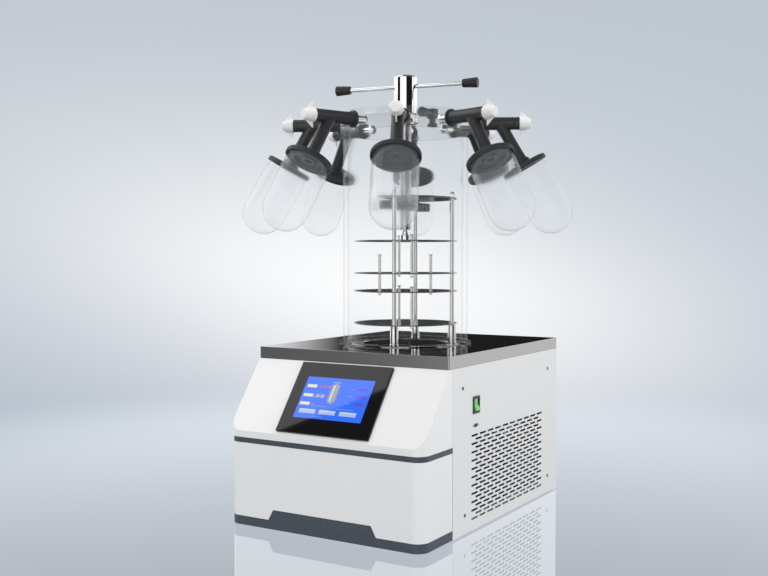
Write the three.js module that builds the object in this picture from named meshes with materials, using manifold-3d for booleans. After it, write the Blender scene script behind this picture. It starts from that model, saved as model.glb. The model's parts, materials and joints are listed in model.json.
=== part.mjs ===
// Bench-top freeze dryer: cold trap in a sheet metal housing, clear drying chamber with a
// stoppering rack, press screw through the lid, and eight valved flask ports round the head.
// Millimetres, +Z up. The origin is where the chamber's axis meets the floor; the panel faces -Y.
import * as THREE from "three";
import { mergeVertices } from "three/addons/utils/BufferGeometryUtils.js";
import Module from "manifold-3d";

const wasm = await Module();
wasm.setup();

// ---- Driving dimensions ----
const gap = 0.3; // between pieces that touch
const through = 5; // how far a cutting tool runs past what it cuts
const bite = 1; // how far shapes that join run into each other
const sides = { huge: 40, large: 32, medium: 16, port: 12, small: 10, fine: 8 }; // facets round a circle

const body = { width: 432, front: 312, rear: 303, height: 340, corner: 24, seam: 200, floorGap: 3 };
const walls = { panel: 1.5, moulding: 3, pan: 2, base: 2, well: 1.5 };
const pan = { front: 214, skirt: 23.5 };
const slope = { angle: 53.1 };
const stripe = { bottom: 163, height: 10 };
const skirting = { height: 20, archHeight: 40, archTop: 218, archBottom: 259 };
const tray = { bottom: 8, upstand: 26, footRadius: 16, footInset: 42 };
const vents = { rows: 21, perRow: 10, length: 26.6, height: 3.9, pitchY: 34.9, pitchZ: 7.9, front: -109.7 };
vents.low = 25; // middle of the lowest row
const louvres = { rows: 9, columns: 2, length: 110, height: 5, pitch: 14, apart: 150, low: 60 };
const display = { width: 206, height: 153, proud: 5, rim: 6, depth: 18, drop: 4.7 };
const power = { y: -104.8, z: 240.5, width: 27.6, height: 33, proud: 2, rim: 3, wall: 1, depth: 22 };
power.pocket = 13; // how deep the rocker's pocket goes into the side
const rocker = { tilt: 8, thick: 4.5, endPlay: 1.2, sidePlay: 0.5 };

const chamber = { radius: 130, wall: 10, height: 430 };
const seal = { inside: 6, outside: 8, height: 6 }; // how far it shows on each side of the chamber's face
const head = { overhang: 6, ledge: 3, height: 40, lid: 10 };
head.outer = chamber.radius + head.overhang;
head.inner = chamber.radius - chamber.wall - head.ledge;
const trap = { radius: 88, depth: 160, flange: 24 };
const coil = { tube: 8, turns: 4, pitch: 22, low: 14, stepsPerTurn: 20 };
const pumpPort = { outer: 11, bore: 8, below: 42, past: 25, flange: 20, flangeThick: 4 };

const ports = { count: 8, first: 26, axisDrop: 21, fall: 30 };
const valve = { flange: 17.5, flangeThick: 5, neck: 9, nut: 10.5, nutThick: 6, tube: 13, branch: 12 };
valve.branchAt = head.outer + 59; // where the leg to the bell leaves the tube, from the chamber's axis
valve.tubeEnd = valve.branchAt + 40;
const bell = { along: 94.7, wall: 3, height: 12, roof: 4, collarHeight: 7, bore: 8 };
bell.collar = valve.branch + 5;
const knob = { radius: 14.5, shoulder: 13.3, length: 23.6, neck: 9, stem: 5, stemDeep: 12 };
const fin = { height: 45, thick: 3, length: 20 };
const flask = { neck: 43, radius: 46, wall: 3, neckLength: 14, shoulder: 4, straight: 93, fit: 2 };
bell.radius = flask.neck + flask.fit + bell.wall;

const shelf = { thick: 2, edge: 8.3 };
shelf.levels = [213, 146, 109, 42].map((height) => body.height + height);
const column = { radius: 4.5, angles: [17.2, 107.2, 197.2], sleeve: 3.85, inset: 10.7 };
column.circle = trap.radius + column.inset;
shelf.radius = column.circle + shelf.edge;
const acorn = { radius: 7, height: 11.5, dome: 5.6, tip: 2.1 };
const hanger = { circle: 55, radius: 3, head: 4.5, headHeight: 2.5, nut: 5, nutHeight: 5, tail: 3 };
const hangers = [
  { shelf: 1, angles: [44, 224], length: 81 },
  { shelf: 2, angles: [134, 314], length: 77 },
  { shelf: 3, angles: [44, 224], length: 78 },
];
const crown = { level: body.height + 300.5, thick: 3, flat: 33, openAt: 287 };
const screw = { radius: 13, shoulder: 5.3, tip: 5.2, hub: 24, hubHeight: 79, hubRound: 5 };
const bridge = { length: 170, width: 25, height: 17, drop: 5.5, post: 7, postAt: 45, turn: 90 };
bridge.boss = screw.radius + 7;
const bar = { radius: 4.2, length: 312, drop: 22, angle: 10 };
const grip = { length: 32, inner: 8.5, outer: 10.5 };
const gland = { wall: 6, flange: 8, flangeThick: 8, below: 14 };
gland.outer = screw.radius + gland.wall;
const foot = { rim: 3.5, height: 11.4, wall: 2.8, bossHeight: 6, socket: 8 };
foot.boss = screw.tip + foot.wall;
foot.radius = foot.boss + foot.rim;
const vent = { x: 17, y: 86, stem: 7, nut: 11, nutThick: 7, block: 9, height: 21, axis: 11.5, turn: -10 };
const ventKnob = { large: 10.5, small: 8.2, length: 31, shank: 4, shankLength: 8 };

const compressor = { x: -112, y: 185, radius: 72, height: 178, round: 30 };
const mount = { radius: 10, height: 12, spread: 40 };
const condenser = { thick: 26, length: 300, height: 140, fins: 12, finGap: 3, finDepth: 6, offset: 8 };
const fan = { radius: 62, hub: 18, thick: 22, blades: 5, bladeThick: 2.5, bladeTwist: 35, shaft: 4, duct: 4 };
const motor = { radius: 22, length: 26, arm: 14, armThick: 8 };

// ---- Values worked out from them ----
const rad = THREE.MathUtils.degToRad;
const half = body.width / 2;
const panBottom = body.height - pan.skirt;
const lidTop = body.height + seal.height + chamber.height + head.height + 2 * gap;
const lidBottom = lidTop - head.lid;
const portLevel = lidTop - ports.axisDrop;
const hubBottom = lidTop + gap;
const crownTop = crown.level + crown.thick;
const insideHalf = half - walls.panel - gap;
const pumpLevel = body.height - pumpPort.below;

// A faceted bore that a round pin turns in: the middles of its facets clear the pin.
const boreFor = (radius, facets) => (radius + gap) / Math.cos(Math.PI / facets);

// ---- Shapes ----
function solid(geometry) {
  const bare = geometry.index ? geometry.clone() : geometry;
  bare.deleteAttribute("normal");
  bare.deleteAttribute("uv");
  const merged = mergeVertices(bare, 1e-4);
  const triVerts = new Uint32Array(merged.index.array);
  const made = new wasm.Manifold(
    new wasm.Mesh({ numProp: 3, vertProperties: merged.attributes.position.array, triVerts }),
  );
  if (made.volume() > 0) return made;
  for (let i = 0; i < triVerts.length; i += 3) {
    [triVerts[i + 1], triVerts[i + 2]] = [triVerts[i + 2], triVerts[i + 1]];
  }
  return new wasm.Manifold(
    new wasm.Mesh({ numProp: 3, vertProperties: merged.attributes.position.array, triVerts }),
  );
}

function geometryOf(made) {
  const mesh = made.getMesh();
  const geometry = new THREE.BufferGeometry();
  geometry.setAttribute("position", new THREE.BufferAttribute(mesh.vertProperties, 3));
  geometry.setIndex(new THREE.BufferAttribute(mesh.triVerts, 1));
  return geometry;
}

const joined = (first, ...rest) => rest.reduce((sum, next) => sum.add(next), first);
const cut = (first, ...rest) => rest.reduce((left, next) => left.subtract(next), first);

function block(x0, x1, y0, y1, z0, z1) {
  const geometry = new THREE.BoxGeometry(x1 - x0, y1 - y0, z1 - z0);
  return solid(geometry.translate((x0 + x1) / 2, (y0 + y1) / 2, (z0 + z1) / 2));
}

// A round bar along Z from z0 to z1, standing at x, y.
function rod(radius, z0, z1, facets = sides.medium, x = 0, y = 0, topRadius = radius) {
  const geometry = new THREE.CylinderGeometry(topRadius, radius, z1 - z0, facets);
  return solid(geometry.rotateX(Math.PI / 2).translate(x, y, (z0 + z1) / 2));
}

// A round bar along X from x0 to x1 at the given height.
function rodX(radius, x0, x1, z, facets = sides.medium, endRadius = radius) {
  const geometry = new THREE.CylinderGeometry(radius, endRadius, x1 - x0, facets);
  return solid(geometry.rotateZ(Math.PI / 2).translate((x0 + x1) / 2, 0, z));
}

// A profile of [radius, height] points turned round Z; it starts and ends on the axis or closes on itself.
function turned(points, facets) {
  const profile = points.map(([radius, height]) => new THREE.Vector2(radius, height));
  return solid(new THREE.LatheGeometry(profile, facets).rotateX(Math.PI / 2));
}

function ring(inner, outer, z0, z1, facets) {
  return turned([[inner, z0], [outer, z0], [outer, z1], [inner, z1], [inner, z0]], facets);
}

function prism(shape, z0, z1, curveSegments = 6) {
  const geometry = new THREE.ExtrudeGeometry(shape, { depth: z1 - z0, bevelEnabled: false, curveSegments });
  return solid(geometry.translate(0, 0, z0));
}

function polygon(points) {
  return new THREE.Shape(points.map(([x, y]) => new THREE.Vector2(x, y)));
}

// Points on an arc, from one angle to another in degrees.
function arc(x, y, radius, from, to, steps) {
  return Array.from({ length: steps + 1 }, (_, i) => {
    const angle = rad(from + ((to - from) * i) / steps);
    const across = Math.abs(Math.cos(angle)) < 1e-9 ? 0 : radius * Math.cos(angle);
    return [x + across, y + radius * Math.sin(angle)];
  });
}

// A shape made along +Z, laid along +Y at the given height.
function laidBack(made, height, y = 0) {
  return solid(geometryOf(made).rotateX(-Math.PI / 2).translate(0, y, height));
}

function moved(made, matrix) {
  return solid(geometryOf(made).applyMatrix4(matrix));
}

const turnedZ = (made, degrees) => moved(made, new THREE.Matrix4().makeRotationZ(rad(degrees)));
const compass = (degrees, radius) => [radius * Math.sin(rad(degrees)), -radius * Math.cos(rad(degrees))];

// ---- Scene graph ----
const dryer = new THREE.Group();

function add(parent, name, made, color, roughness, metalness = 0) {
  const material = new THREE.MeshStandardMaterial({ color, roughness, metalness });
  const mesh = new THREE.Mesh(geometryOf(made), material);
  mesh.name = name;
  parent.add(mesh);
}

const white = 0xf1f2f3;
const paleGrey = 0xdcdddd;
const slate = 0x434a52;
const black = 0x17181a;
const charcoal = 0x232426;
const steel = 0x9a9c9e;
const chrome = 0xd8dadc;
const clear = 0xeef3f5;
const darkSteel = 0x4a4c4e;
const copper = 0xb87346;

// The plan of the front mouldings: straight at the seam, rounded at the two front corners.
function frontPlan(inset) {
  const x = half - inset;
  const y = -body.front + inset;
  const radius = body.corner - inset;
  return [
    [x, -body.seam],
    ...arc(x - radius, y + radius, radius, 0, -90, 6),
    ...arc(-x + radius, y + radius, radius, -90, -180, 6),
    [-x, -body.seam],
  ];
}

// The same plan with its ends run out past the seam, for hollowing a moulding.
function openPlan(inset) {
  const points = frontPlan(inset);
  points[0][1] += through;
  points[points.length - 1][1] += through;
  return polygon(points);
}

function frontBand(z0, z1) {
  const inner = prism(openPlan(walls.moulding), z0 - through, z1 + through);
  return cut(prism(polygon(frontPlan(0)), z0, z1), inner);
}

// ---- Front mouldings ----
const slopeFrame = new THREE.Matrix4()
  .makeTranslation(0, -pan.front, panBottom)
  .multiply(new THREE.Matrix4().makeRotationX(rad(slope.angle)));

// What lies in front of the sloping face, sunk by the given depth: local y is up the slope, z is out of it.
function aboveSlope(depth) {
  const reach = body.width;
  return moved(block(-reach, reach, -reach, reach, -depth, reach), slopeFrame);
}

// A box in the slope's own frame, centred on the display.
function slopeBox(width, height, z0, z1) {
  const middle = -display.drop - display.height / 2;
  return moved(block(-width / 2, width / 2, middle - height / 2, middle + height / 2, z0, z1), slopeFrame);
}

function makeUpperFront() {
  const wall = walls.moulding;
  const bottom = stripe.bottom + stripe.height + gap;
  const top = panBottom - gap;
  const outside = cut(prism(polygon(frontPlan(0)), bottom, top), aboveSlope(0));
  const inside = cut(prism(openPlan(wall), bottom - through, top - wall), aboveSlope(wall));
  const rim = 2 * (display.rim - gap);
  const cutout = slopeBox(display.width - rim, display.height - rim, -2 * through, through);
  return cut(outside, inside, cutout);
}

function makeDisplay() {
  const { width, height, rim, proud, depth } = display;
  const plate = slopeBox(width, height, gap, proud);
  return joined(plate, slopeBox(width - 2 * rim, height - 2 * rim, -depth, proud / 2));
}

const archPoints = (wide, narrow, top) => [
  [-wide / 2, -through],
  [wide / 2, -through],
  [wide / 2, body.floorGap],
  [narrow / 2, top],
  [-narrow / 2, top],
  [-wide / 2, body.floorGap],
];

// The trapezoid that the skirting rises into at the middle of the front.
function arch(extra) {
  const { archTop, archBottom, archHeight } = skirting;
  const points = archPoints(archBottom + 2 * extra, archTop + 2 * extra, archHeight + extra);
  const geometry = geometryOf(prism(polygon(points), 0, body.front));
  return solid(geometry.rotateX(Math.PI / 2));
}

function makeLowerFront() {
  return cut(frontBand(skirting.height + gap, stripe.bottom), arch(gap));
}

function makeSkirting() {
  const low = frontBand(body.floorGap, skirting.height);
  const raised = frontBand(body.floorGap, skirting.archHeight).intersect(arch(0));
  return joined(low, raised);
}

add(dryer, "upper_front_shroud", makeUpperFront(), white, 0.42);
add(dryer, "stripe_band", frontBand(stripe.bottom + gap, stripe.bottom + stripe.height), slate, 0.45);
add(dryer, "lower_front_panel", makeLowerFront(), white, 0.42);
add(dryer, "foot_trim", makeSkirting(), slate, 0.5);
add(dryer, "hmi_panel", makeDisplay(), black, 0.08);

// ---- Sheet metal housing ----
// The tray's plan: as wide as the side panels allow, and inside the front mouldings ahead of the seam.
function trayPlan(inset) {
  const x = insideHalf - inset;
  const rear = body.rear - walls.panel - gap - inset;
  const step = -body.seam + gap + inset;
  const front = frontPlan(walls.moulding + gap + inset);
  front[0][1] = step;
  front[front.length - 1][1] = step;
  return polygon([[x, step], ...front, [-x, step], [-x, rear], [x, rear]]);
}

function makeBasePan() {
  const floor = tray.bottom + walls.base;
  const top = floor + tray.upstand;
  const shell = cut(prism(trayPlan(0), tray.bottom, top), prism(trayPlan(walls.base), floor, top + through));
  const feet = [-1, 1].flatMap((side) =>
    [-body.front + tray.footInset, body.rear - tray.footInset].map((y) =>
      rod(tray.footRadius, 0, floor - walls.base / 2, sides.medium, side * (insideHalf - tray.footInset), y),
    ),
  );
  return joined(shell, ...feet);
}

function sideSheet() {
  return block(half - walls.panel, half, -body.seam + gap, body.rear, body.floorGap, panBottom - gap);
}

// A rectangular hole through the right side, centred at y, z.
function sideCut(y, z, length, height) {
  const [l, h] = [length / 2, height / 2];
  return block(half - through, half + through, y - l, y + l, z - h, z + h);
}

// Staggered rows of slots: the rows between have one slot fewer and sit half a pitch along.
function ventSlots() {
  const slots = [];
  for (let row = 0; row < vents.rows; row++) {
    const shifted = row % 2;
    for (let i = 0; i < vents.perRow - shifted; i++) {
      const y = vents.front + (i + shifted / 2) * vents.pitchY;
      const z = vents.low + row * vents.pitchZ;
      slots.push(sideCut(y, z, vents.length, vents.height));
    }
  }
  return slots;
}

function makeRightPanel() {
  const rim = 2 * (power.rim - gap);
  const switchHole = sideCut(power.y, power.z, power.width - rim, power.height - rim);
  return cut(sideSheet(), wasm.Manifold.union(ventSlots()), switchHole);
}

function makeRearPanel() {
  const x = half - walls.panel - gap;
  const sheet = block(-x, x, body.rear - walls.panel, body.rear, body.floorGap, panBottom - gap);
  const slots = [];
  for (let row = 0; row < louvres.rows; row++) {
    for (let i = 0; i < louvres.columns; i++) {
      const middle = (i - (louvres.columns - 1) / 2) * louvres.apart;
      const z = louvres.low + row * louvres.pitch;
      const [l, h] = [louvres.length / 2, louvres.height / 2];
      slots.push(block(middle - l, middle + l, body.rear - through, body.rear + through, z - h, z + h));
    }
  }
  const hole = laidBack(rod(pumpPort.outer + gap, -through, through), pumpLevel, body.rear);
  return cut(sheet, wasm.Manifold.union(slots), hole);
}

function makeTopPan() {
  const t = walls.pan;
  const [front, top] = [-pan.front, body.height];
  const outer = block(-half, half, front, body.rear, panBottom, top);
  const inner = block(t - half, half - t, front + t, body.rear - t, panBottom - through, top - t);
  const opening = rod(trap.radius + walls.well + gap, panBottom, top + through, sides.large);
  return cut(outer, inner, opening);
}

add(dryer, "base_pan", makeBasePan(), darkSteel, 0.6, 0.6);
add(dryer, "side_panel_right", makeRightPanel(), paleGrey, 0.45);
const mirrorX = new THREE.Matrix4().makeScale(-1, 1, 1);
add(dryer, "side_panel_left", moved(sideSheet(), mirrorX), paleGrey, 0.45);
add(dryer, "rear_panel", makeRearPanel(), paleGrey, 0.45);
add(dryer, "top_pan", makeTopPan(), steel, 0.25, 0.9);

// ---- Power switch ----
function makeSwitchFrame() {
  const { width, height, rim, wall, proud, depth, pocket } = power;
  const [w, h] = [width / 2, height / 2];
  const face = half + gap + proud;
  const inset = rim + wall;
  const plate = block(half + gap, face, -w, w, -h, h);
  const barrel = block(half - depth, half + bite, rim - w, w - rim, rim - h, h - rim);
  const room = block(half - pocket, face + through, inset - w, w - inset, inset - h, h - inset);
  return cut(joined(plate, barrel), room);
}

// A shallow V in section, with its pivot where the two faces meet.
function makeRocker() {
  const inset = power.rim + power.wall;
  const h = power.height / 2 - inset - rocker.endPlay;
  const w = power.width / 2 - inset - rocker.sidePlay;
  const raise = h * Math.tan(rad(rocker.tilt));
  const back = raise - rocker.thick;
  const outline = polygon([[raise, -h], [0, 0], [raise, h], [back, h], [-2 * rocker.thick, 0], [back, -h]]);
  return solid(geometryOf(prism(outline, -w, w)).rotateX(Math.PI / 2));
}

const switchGroup = new THREE.Group();
switchGroup.position.set(0, power.y, power.z);
dryer.add(switchGroup);
add(switchGroup, "switch_frame", makeSwitchFrame(), black, 0.4);
const rockerGroup = new THREE.Group();
rockerGroup.position.set(half + gap, 0, 0);
rockerGroup.rotation.y = rad(-rocker.tilt);
switchGroup.add(rockerGroup);
add(rockerGroup, "switch_rocker", makeRocker(), 0x2f9a4a, 0.3);

// ---- Cold trap and refrigeration ----
const wellTop = body.height + gap + walls.well;

function makeWell() {
  const { radius, depth } = trap;
  const outer = radius + walls.well;
  const flange = radius + trap.flange;
  const bottom = body.height - depth;
  const profile = [
    [0, bottom],
    [outer, bottom],
    [outer, body.height + gap],
    [flange, body.height + gap],
    [flange, wellTop],
    [radius, wellTop],
    [radius, bottom + walls.well],
    [0, bottom + walls.well],
  ];
  const outlet = laidBack(rod(pumpPort.bore, 0, radius + through), pumpLevel);
  return cut(turned(profile, sides.large), outlet);
}

class Helix extends THREE.Curve {
  getPoint(t) {
    const angle = 2 * Math.PI * coil.turns * t;
    const radius = (trap.radius + walls.well + gap + coil.tube / 2) / Math.cos(Math.PI / coil.stepsPerTurn);
    const height = body.height - trap.depth + coil.low + coil.turns * coil.pitch * t;
    return new THREE.Vector3(radius * Math.cos(angle), radius * Math.sin(angle), height);
  }
}

function makeCoil() {
  const section = polygon(arc(0, 0, coil.tube / 2, 0, 300, 5));
  const steps = coil.turns * coil.stepsPerTurn;
  const options = { steps, extrudePath: new Helix(), bevelEnabled: false };
  return solid(new THREE.ExtrudeGeometry(section, options));
}

// The pipe from the trap to the pump: it starts on the well's wall and ends in a flange behind the housing.
function makePumpPort() {
  const { outer, bore, past, flange, flangeThick } = pumpPort;
  const end = body.rear + past;
  const pipe = joined(rod(outer, 0, end), rod(flange, end - flangeThick, end));
  const hollow = cut(pipe, rod(bore, -through, end + through));
  return cut(laidBack(hollow, pumpLevel), rod(trap.radius + walls.well + gap, 0, body.height, sides.large));
}

function makeCompressor() {
  const { radius, height, round } = compressor;
  const bottom = tray.bottom + walls.base + gap;
  const low = bottom + mount.height;
  const top = low + height;
  const profile = [
    [0, low],
    [radius - round, low],
    ...arc(radius - round, low + round, round, -60, 0, 2),
    ...arc(radius - round, top - round, round, 0, 90, 3),
    [0, top],
  ];
  const places = [-mount.spread, mount.spread];
  const mounts = places.flatMap((x) =>
    places.map((y) => rod(mount.radius, bottom, low + round / 2, sides.small, x, y)),
  );
  return joined(turned(profile, sides.medium), ...mounts);
}

const condenserY = vents.front + ((vents.perRow - 1) * vents.pitchY) / 2;
const condenserLow = tray.bottom + walls.base + gap;
const condenserX = insideHalf - walls.base - condenser.offset;
const fanLevel = condenserLow + condenser.height / 2;
const fanBack = condenserX - condenser.thick - fan.duct - fan.thick;
const atCondenser = (made) => solid(geometryOf(made).translate(0, condenserY, 0));

// Finned block, with the fan's motor carried on a bracket at its inner face.
function makeCondenser() {
  const { thick, length, height, fins, finGap, finDepth } = condenser;
  const inner = condenserX - thick;
  const [y0, y1] = [condenserY - length / 2, condenserY + length / 2];
  const top = condenserLow + height;
  const grooves = Array.from({ length: fins }, (_, i) => {
    const y = y0 + ((i + 1) * length) / (fins + 1);
    const [z0, z1] = [condenserLow + finDepth, top - finDepth];
    return block(condenserX - finDepth, condenserX + through, y - finGap, y + finGap, z0, z1);
  });
  const core = cut(block(inner, condenserX, y0, y1, condenserLow, top), ...grooves);
  const back = fanBack - fan.duct - motor.armThick;
  const front = back + motor.armThick;
  const [a0, a1] = [condenserY - motor.arm / 2, condenserY + motor.arm / 2];
  const arm = block(back, front, a0, a1, condenserLow, top);
  const tie = block(back, inner + bite, a0, a1, condenserLow, condenserLow + fan.duct);
  const can = rodX(motor.radius, front - motor.length, back + bite, fanLevel);
  const shaft = rodX(fan.shaft, back, fanBack + fan.thick - 4 * gap, fanLevel, sides.small);
  return joined(core, arm, tie, ...[can, shaft].map(atCondenser));
}

function makeFan() {
  const end = fanBack + fan.thick;
  const hub = rodX(fan.hub, fanBack + gap, end, fanLevel);
  const bore = rodX(boreFor(fan.shaft, sides.small), fanBack - through, end - 2 * gap, fanLevel, sides.small);
  const blades = Array.from({ length: fan.blades }, (_, i) => {
    const [t, w] = [fan.bladeThick / 2, fan.thick / 2];
    const blade = geometryOf(block(-t, t, -w, w, fan.hub - 2 * bite, fan.radius));
    blade.rotateZ(rad(fan.bladeTwist)).rotateX((2 * Math.PI * i) / fan.blades);
    return solid(blade.translate(fanBack + w, 0, fanLevel));
  });
  return atCondenser(cut(joined(hub, ...blades), bore));
}

const compressorGroup = new THREE.Group();
compressorGroup.position.set(compressor.x, compressor.y, 0);
dryer.add(compressorGroup);
add(dryer, "cold_trap_well", makeWell(), steel, 0.25, 0.9);
add(dryer, "evaporator_coil", makeCoil(), copper, 0.35, 0.9);
add(compressorGroup, "compressor", makeCompressor(), black, 0.5);
add(dryer, "condenser", makeCondenser(), steel, 0.5, 0.7);
add(dryer, "condenser_fan", makeFan(), charcoal, 0.6);
add(dryer, "vacuum_port", makePumpPort(), chrome, 0.25, 0.9);

// ---- Drying chamber ----
const sealTop = body.height + gap + seal.height;
const chamberTop = sealTop + gap + chamber.height - gap;

function makeHead() {
  const { outer, inner, lid } = head;
  const bottom = chamberTop + gap;
  const [z0, z1] = [lidBottom - through, lidTop + through];
  const profile = [[0, lidBottom], [inner, lidBottom], [inner, bottom]];
  profile.push([outer, bottom], [outer, lidTop], [0, lidTop]);
  const holes = Array.from({ length: ports.count }, (_, i) =>
    turnedZ(rodX(valve.neck + gap, inner - through, outer + through, portLevel, sides.small), portTurn(i)),
  );
  const bore = rod(gland.outer + gap, z0, z1);
  const ventHole = rod(vent.stem + gap, z0, z1, sides.small, vent.x, vent.y);
  return cut(turned(profile, sides.huge), ...holes, bore, ventHole);
}

const portTurn = (i) => ports.first + (i * 360) / ports.count - 90;

const sealInner = chamber.radius - seal.inside;
const sealOuter = chamber.radius + seal.outside;
add(dryer, "base_seal", ring(sealInner, sealOuter, body.height + gap, sealTop, sides.large), 0xe6e8ea, 0.5);
const tube = ring(chamber.radius - chamber.wall, chamber.radius, sealTop + gap, chamberTop, sides.huge);
add(dryer, "chamber_cylinder", tube, clear, 0.05);
add(dryer, "manifold_head", makeHead(), clear, 0.05);

// ---- Flask ports: a valve with its rubber bell, a knob and a flask at each ----
function makeValve() {
  const { flange, flangeThick, neck, nut, nutThick, tube, tubeEnd, branch } = valve;
  const face = head.outer + gap;
  const nutFace = Math.sqrt(head.inner ** 2 - nut ** 2) * Math.cos(Math.PI / sides.huge) - gap;
  const straight = joined(
    rodX(neck, nutFace - nutThick, face + bite, portLevel, sides.small),
    rodX(nut, nutFace - nutThick, nutFace, portLevel, 6),
    rodX(flange, face, face + flangeThick, portLevel, sides.port),
    rodX(tube, face + bite, tubeEnd, portLevel, sides.port),
  );
  const leg = rod(branch, -bell.along - bite, 0, sides.small);
  const { along, radius, wall, height, roof, collar, collarHeight } = bell;
  const cup = turned(
    [
      [0, -along - roof],
      [radius - wall, -along - roof],
      [radius - wall, -along - height],
      [radius, -along - height],
      [radius, -along - 2],
      [collar, -along],
      [collar, -along + collarHeight],
      [0, -along + collarHeight],
    ],
    sides.port,
  );
  const down = moved(cut(joined(leg, cup), rod(bell.bore, -along - through * 2, 0, sides.fine)), branchFrame);
  const solidLeg = joined(straight, down);
  const seat = boreFor(knob.stem, sides.fine);
  return cut(solidLeg, rodX(seat, tubeEnd - knob.stemDeep, tubeEnd + through, portLevel, sides.fine));
}

const branchFrame = new THREE.Matrix4()
  .makeTranslation(valve.branchAt, 0, portLevel)
  .multiply(new THREE.Matrix4().makeRotationY(rad(-ports.fall)));

// A round knob with a pointed fin across it, on the stem that turns in the valve's end.
function makeKnob() {
  const { radius, shoulder, length, neck, stem, stemDeep } = knob;
  const start = valve.tubeEnd + gap;
  const middle = start + length / 2;
  const [first, last] = [start + bite, start + fin.length];
  const [h, peak] = [fin.height / 4, start + fin.length / 4];
  const outline = polygon([[first, 0], [peak, 2 * h], [last, h], [last, -h], [peak, -2 * h]]);
  const wing = geometryOf(prism(outline, -fin.thick / 2, fin.thick / 2));
  return joined(
    rodX(stem, start - stemDeep + gap, start + bite, portLevel, sides.fine),
    rodX(radius, start, middle, portLevel, sides.small, shoulder),
    rodX(shoulder, middle, start + length, portLevel, sides.small, neck),
    solid(wing.rotateX(Math.PI / 2).translate(0, 0, portLevel)),
  );
}

// A wide-mouthed glass with a round bottom, hung mouth upwards from the bell.
function makeFlask() {
  const { neck, radius, wall, neckLength, shoulder, straight } = flask;
  const top = -bell.along - bell.roof - gap;
  const neckEnd = top - neckLength;
  const bodyTop = neckEnd - shoulder;
  const centre = bodyTop - straight;
  const profile = [
    [neck - wall, top],
    [neck, top],
    [neck, neckEnd],
    [radius, bodyTop],
    ...arc(0, centre, radius, 0, -90, 4),
    ...arc(0, centre, radius - wall, -90, 0, 3),
    [radius - wall, bodyTop],
    [neck - wall, neckEnd],
    [neck - wall, top],
  ];
  return moved(turned(profile, sides.port), branchFrame);
}

const [valveShape, knobShape, flaskShape] = [makeValve(), makeKnob(), makeFlask()];
for (let i = 0; i < ports.count; i++) {
  const port = new THREE.Group();
  port.rotation.z = rad(portTurn(i));
  dryer.add(port);
  add(port, `valve_${i + 1}`, valveShape, charcoal, 0.5);
  add(port, `valve_knob_${i + 1}`, knobShape, white, 0.45);
  add(port, `flask_${i + 1}`, flaskShape, clear, 0.05);
}

// ---- Stoppering rack ----
const shelfTop = (i) => shelf.levels[i] + shelf.thick;
const columnPlaces = column.angles.map((angle) => compass(angle, column.circle));
const hangerPlaces = (set) => set.angles.map((angle) => compass(angle, hanger.circle));

function makeShelf(i) {
  const [low, top] = [shelf.levels[i], shelfTop(i)];
  const hole = (radius, facets) => ([x, y]) => rod(radius + gap, low - through, top + through, facets, x, y);
  const passing = hangers.filter((set) => set.shelf === i + 1).flatMap(hangerPlaces);
  const fixed = hangers.filter((set) => set.shelf === i);
  const rods = fixed.flatMap(({ length, ...set }) =>
    hangerPlaces(set).map((place) => makeHanger(place, low, low + length)),
  );
  const holes = [
    ...columnPlaces.map(hole(column.radius, sides.small)),
    ...passing.map(hole(hanger.radius, sides.fine)),
  ];
  const plate = cut(rod(shelf.radius, low, top, sides.large), ...holes);
  return joined(plate, ...rods);
}

// A rod with a nut under its shelf and a head that stops the shelf above.
function makeHanger([x, y], low, top) {
  return joined(
    rod(hanger.radius, low - hanger.nutHeight - hanger.tail, top, sides.fine, x, y),
    rod(hanger.head, top - hanger.headHeight, top, sides.fine, x, y),
    rod(hanger.nut, low - hanger.nutHeight, low + bite, 6, x, y),
  );
}

function makeColumn([x, y]) {
  const bottom = wellTop + gap;
  const nutBottom = crownTop + gap;
  const domeBottom = nutBottom + acorn.height / 2;
  return joined(
    rod(column.radius + column.sleeve, bottom, Math.min(...shelf.levels) - gap, sides.medium, x, y),
    rod(column.radius, bottom, nutBottom + bite, sides.small, x, y),
    rod(acorn.radius, nutBottom, domeBottom, 6, x, y),
    rod(acorn.dome, domeBottom, nutBottom + acorn.height, sides.small, x, y, acorn.tip),
  );
}

// D-shaped plate that ties the columns' tops; the flat is towards the open side of the rack.
function makeCrown() {
  const { level, flat, openAt } = crown;
  const [z0, z1] = [level - through, crownTop + through];
  const disc = rod(shelf.radius, level, crownTop, sides.large);
  const [x, y] = compass(openAt, 1);
  const wide = 2 * shelf.radius;
  const side = turnedZ(block(flat, wide, -wide, wide, z0, z1), THREE.MathUtils.radToDeg(Math.atan2(y, x)));
  const holes = columnPlaces.map(([u, v]) => rod(column.radius + gap, z0, z1, sides.small, u, v));
  return cut(disc, side, ...holes, rod(boreFor(screw.radius, sides.medium), z0, z1));
}

function makeBridge() {
  const { length, width, height, drop, post, postAt, boss, turn } = bridge;
  const top = crown.level - drop;
  const beam = block(-length / 2, length / 2, -width / 2, width / 2, top - height, top);
  const posts = [-postAt, postAt].map((x) => rod(post, top - bite, crown.level - gap, sides.small, x));
  const bore = rod(boreFor(screw.radius, sides.medium), top - height - through, top + through);
  return turnedZ(cut(joined(beam, rod(boss, top - height, top), ...posts), bore), turn);
}

columnPlaces.forEach((place, i) => add(dryer, `rack_column_${i + 1}`, makeColumn(place), chrome, 0.2, 0.95));
shelf.levels.forEach((_, i) => add(dryer, `shelf_${i + 1}`, makeShelf(i), darkSteel, 0.3, 0.85));
add(dryer, "rack_top_plate", makeCrown(), darkSteel, 0.3, 0.85);
add(dryer, "rack_bridge", makeBridge(), black, 0.35);

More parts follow.
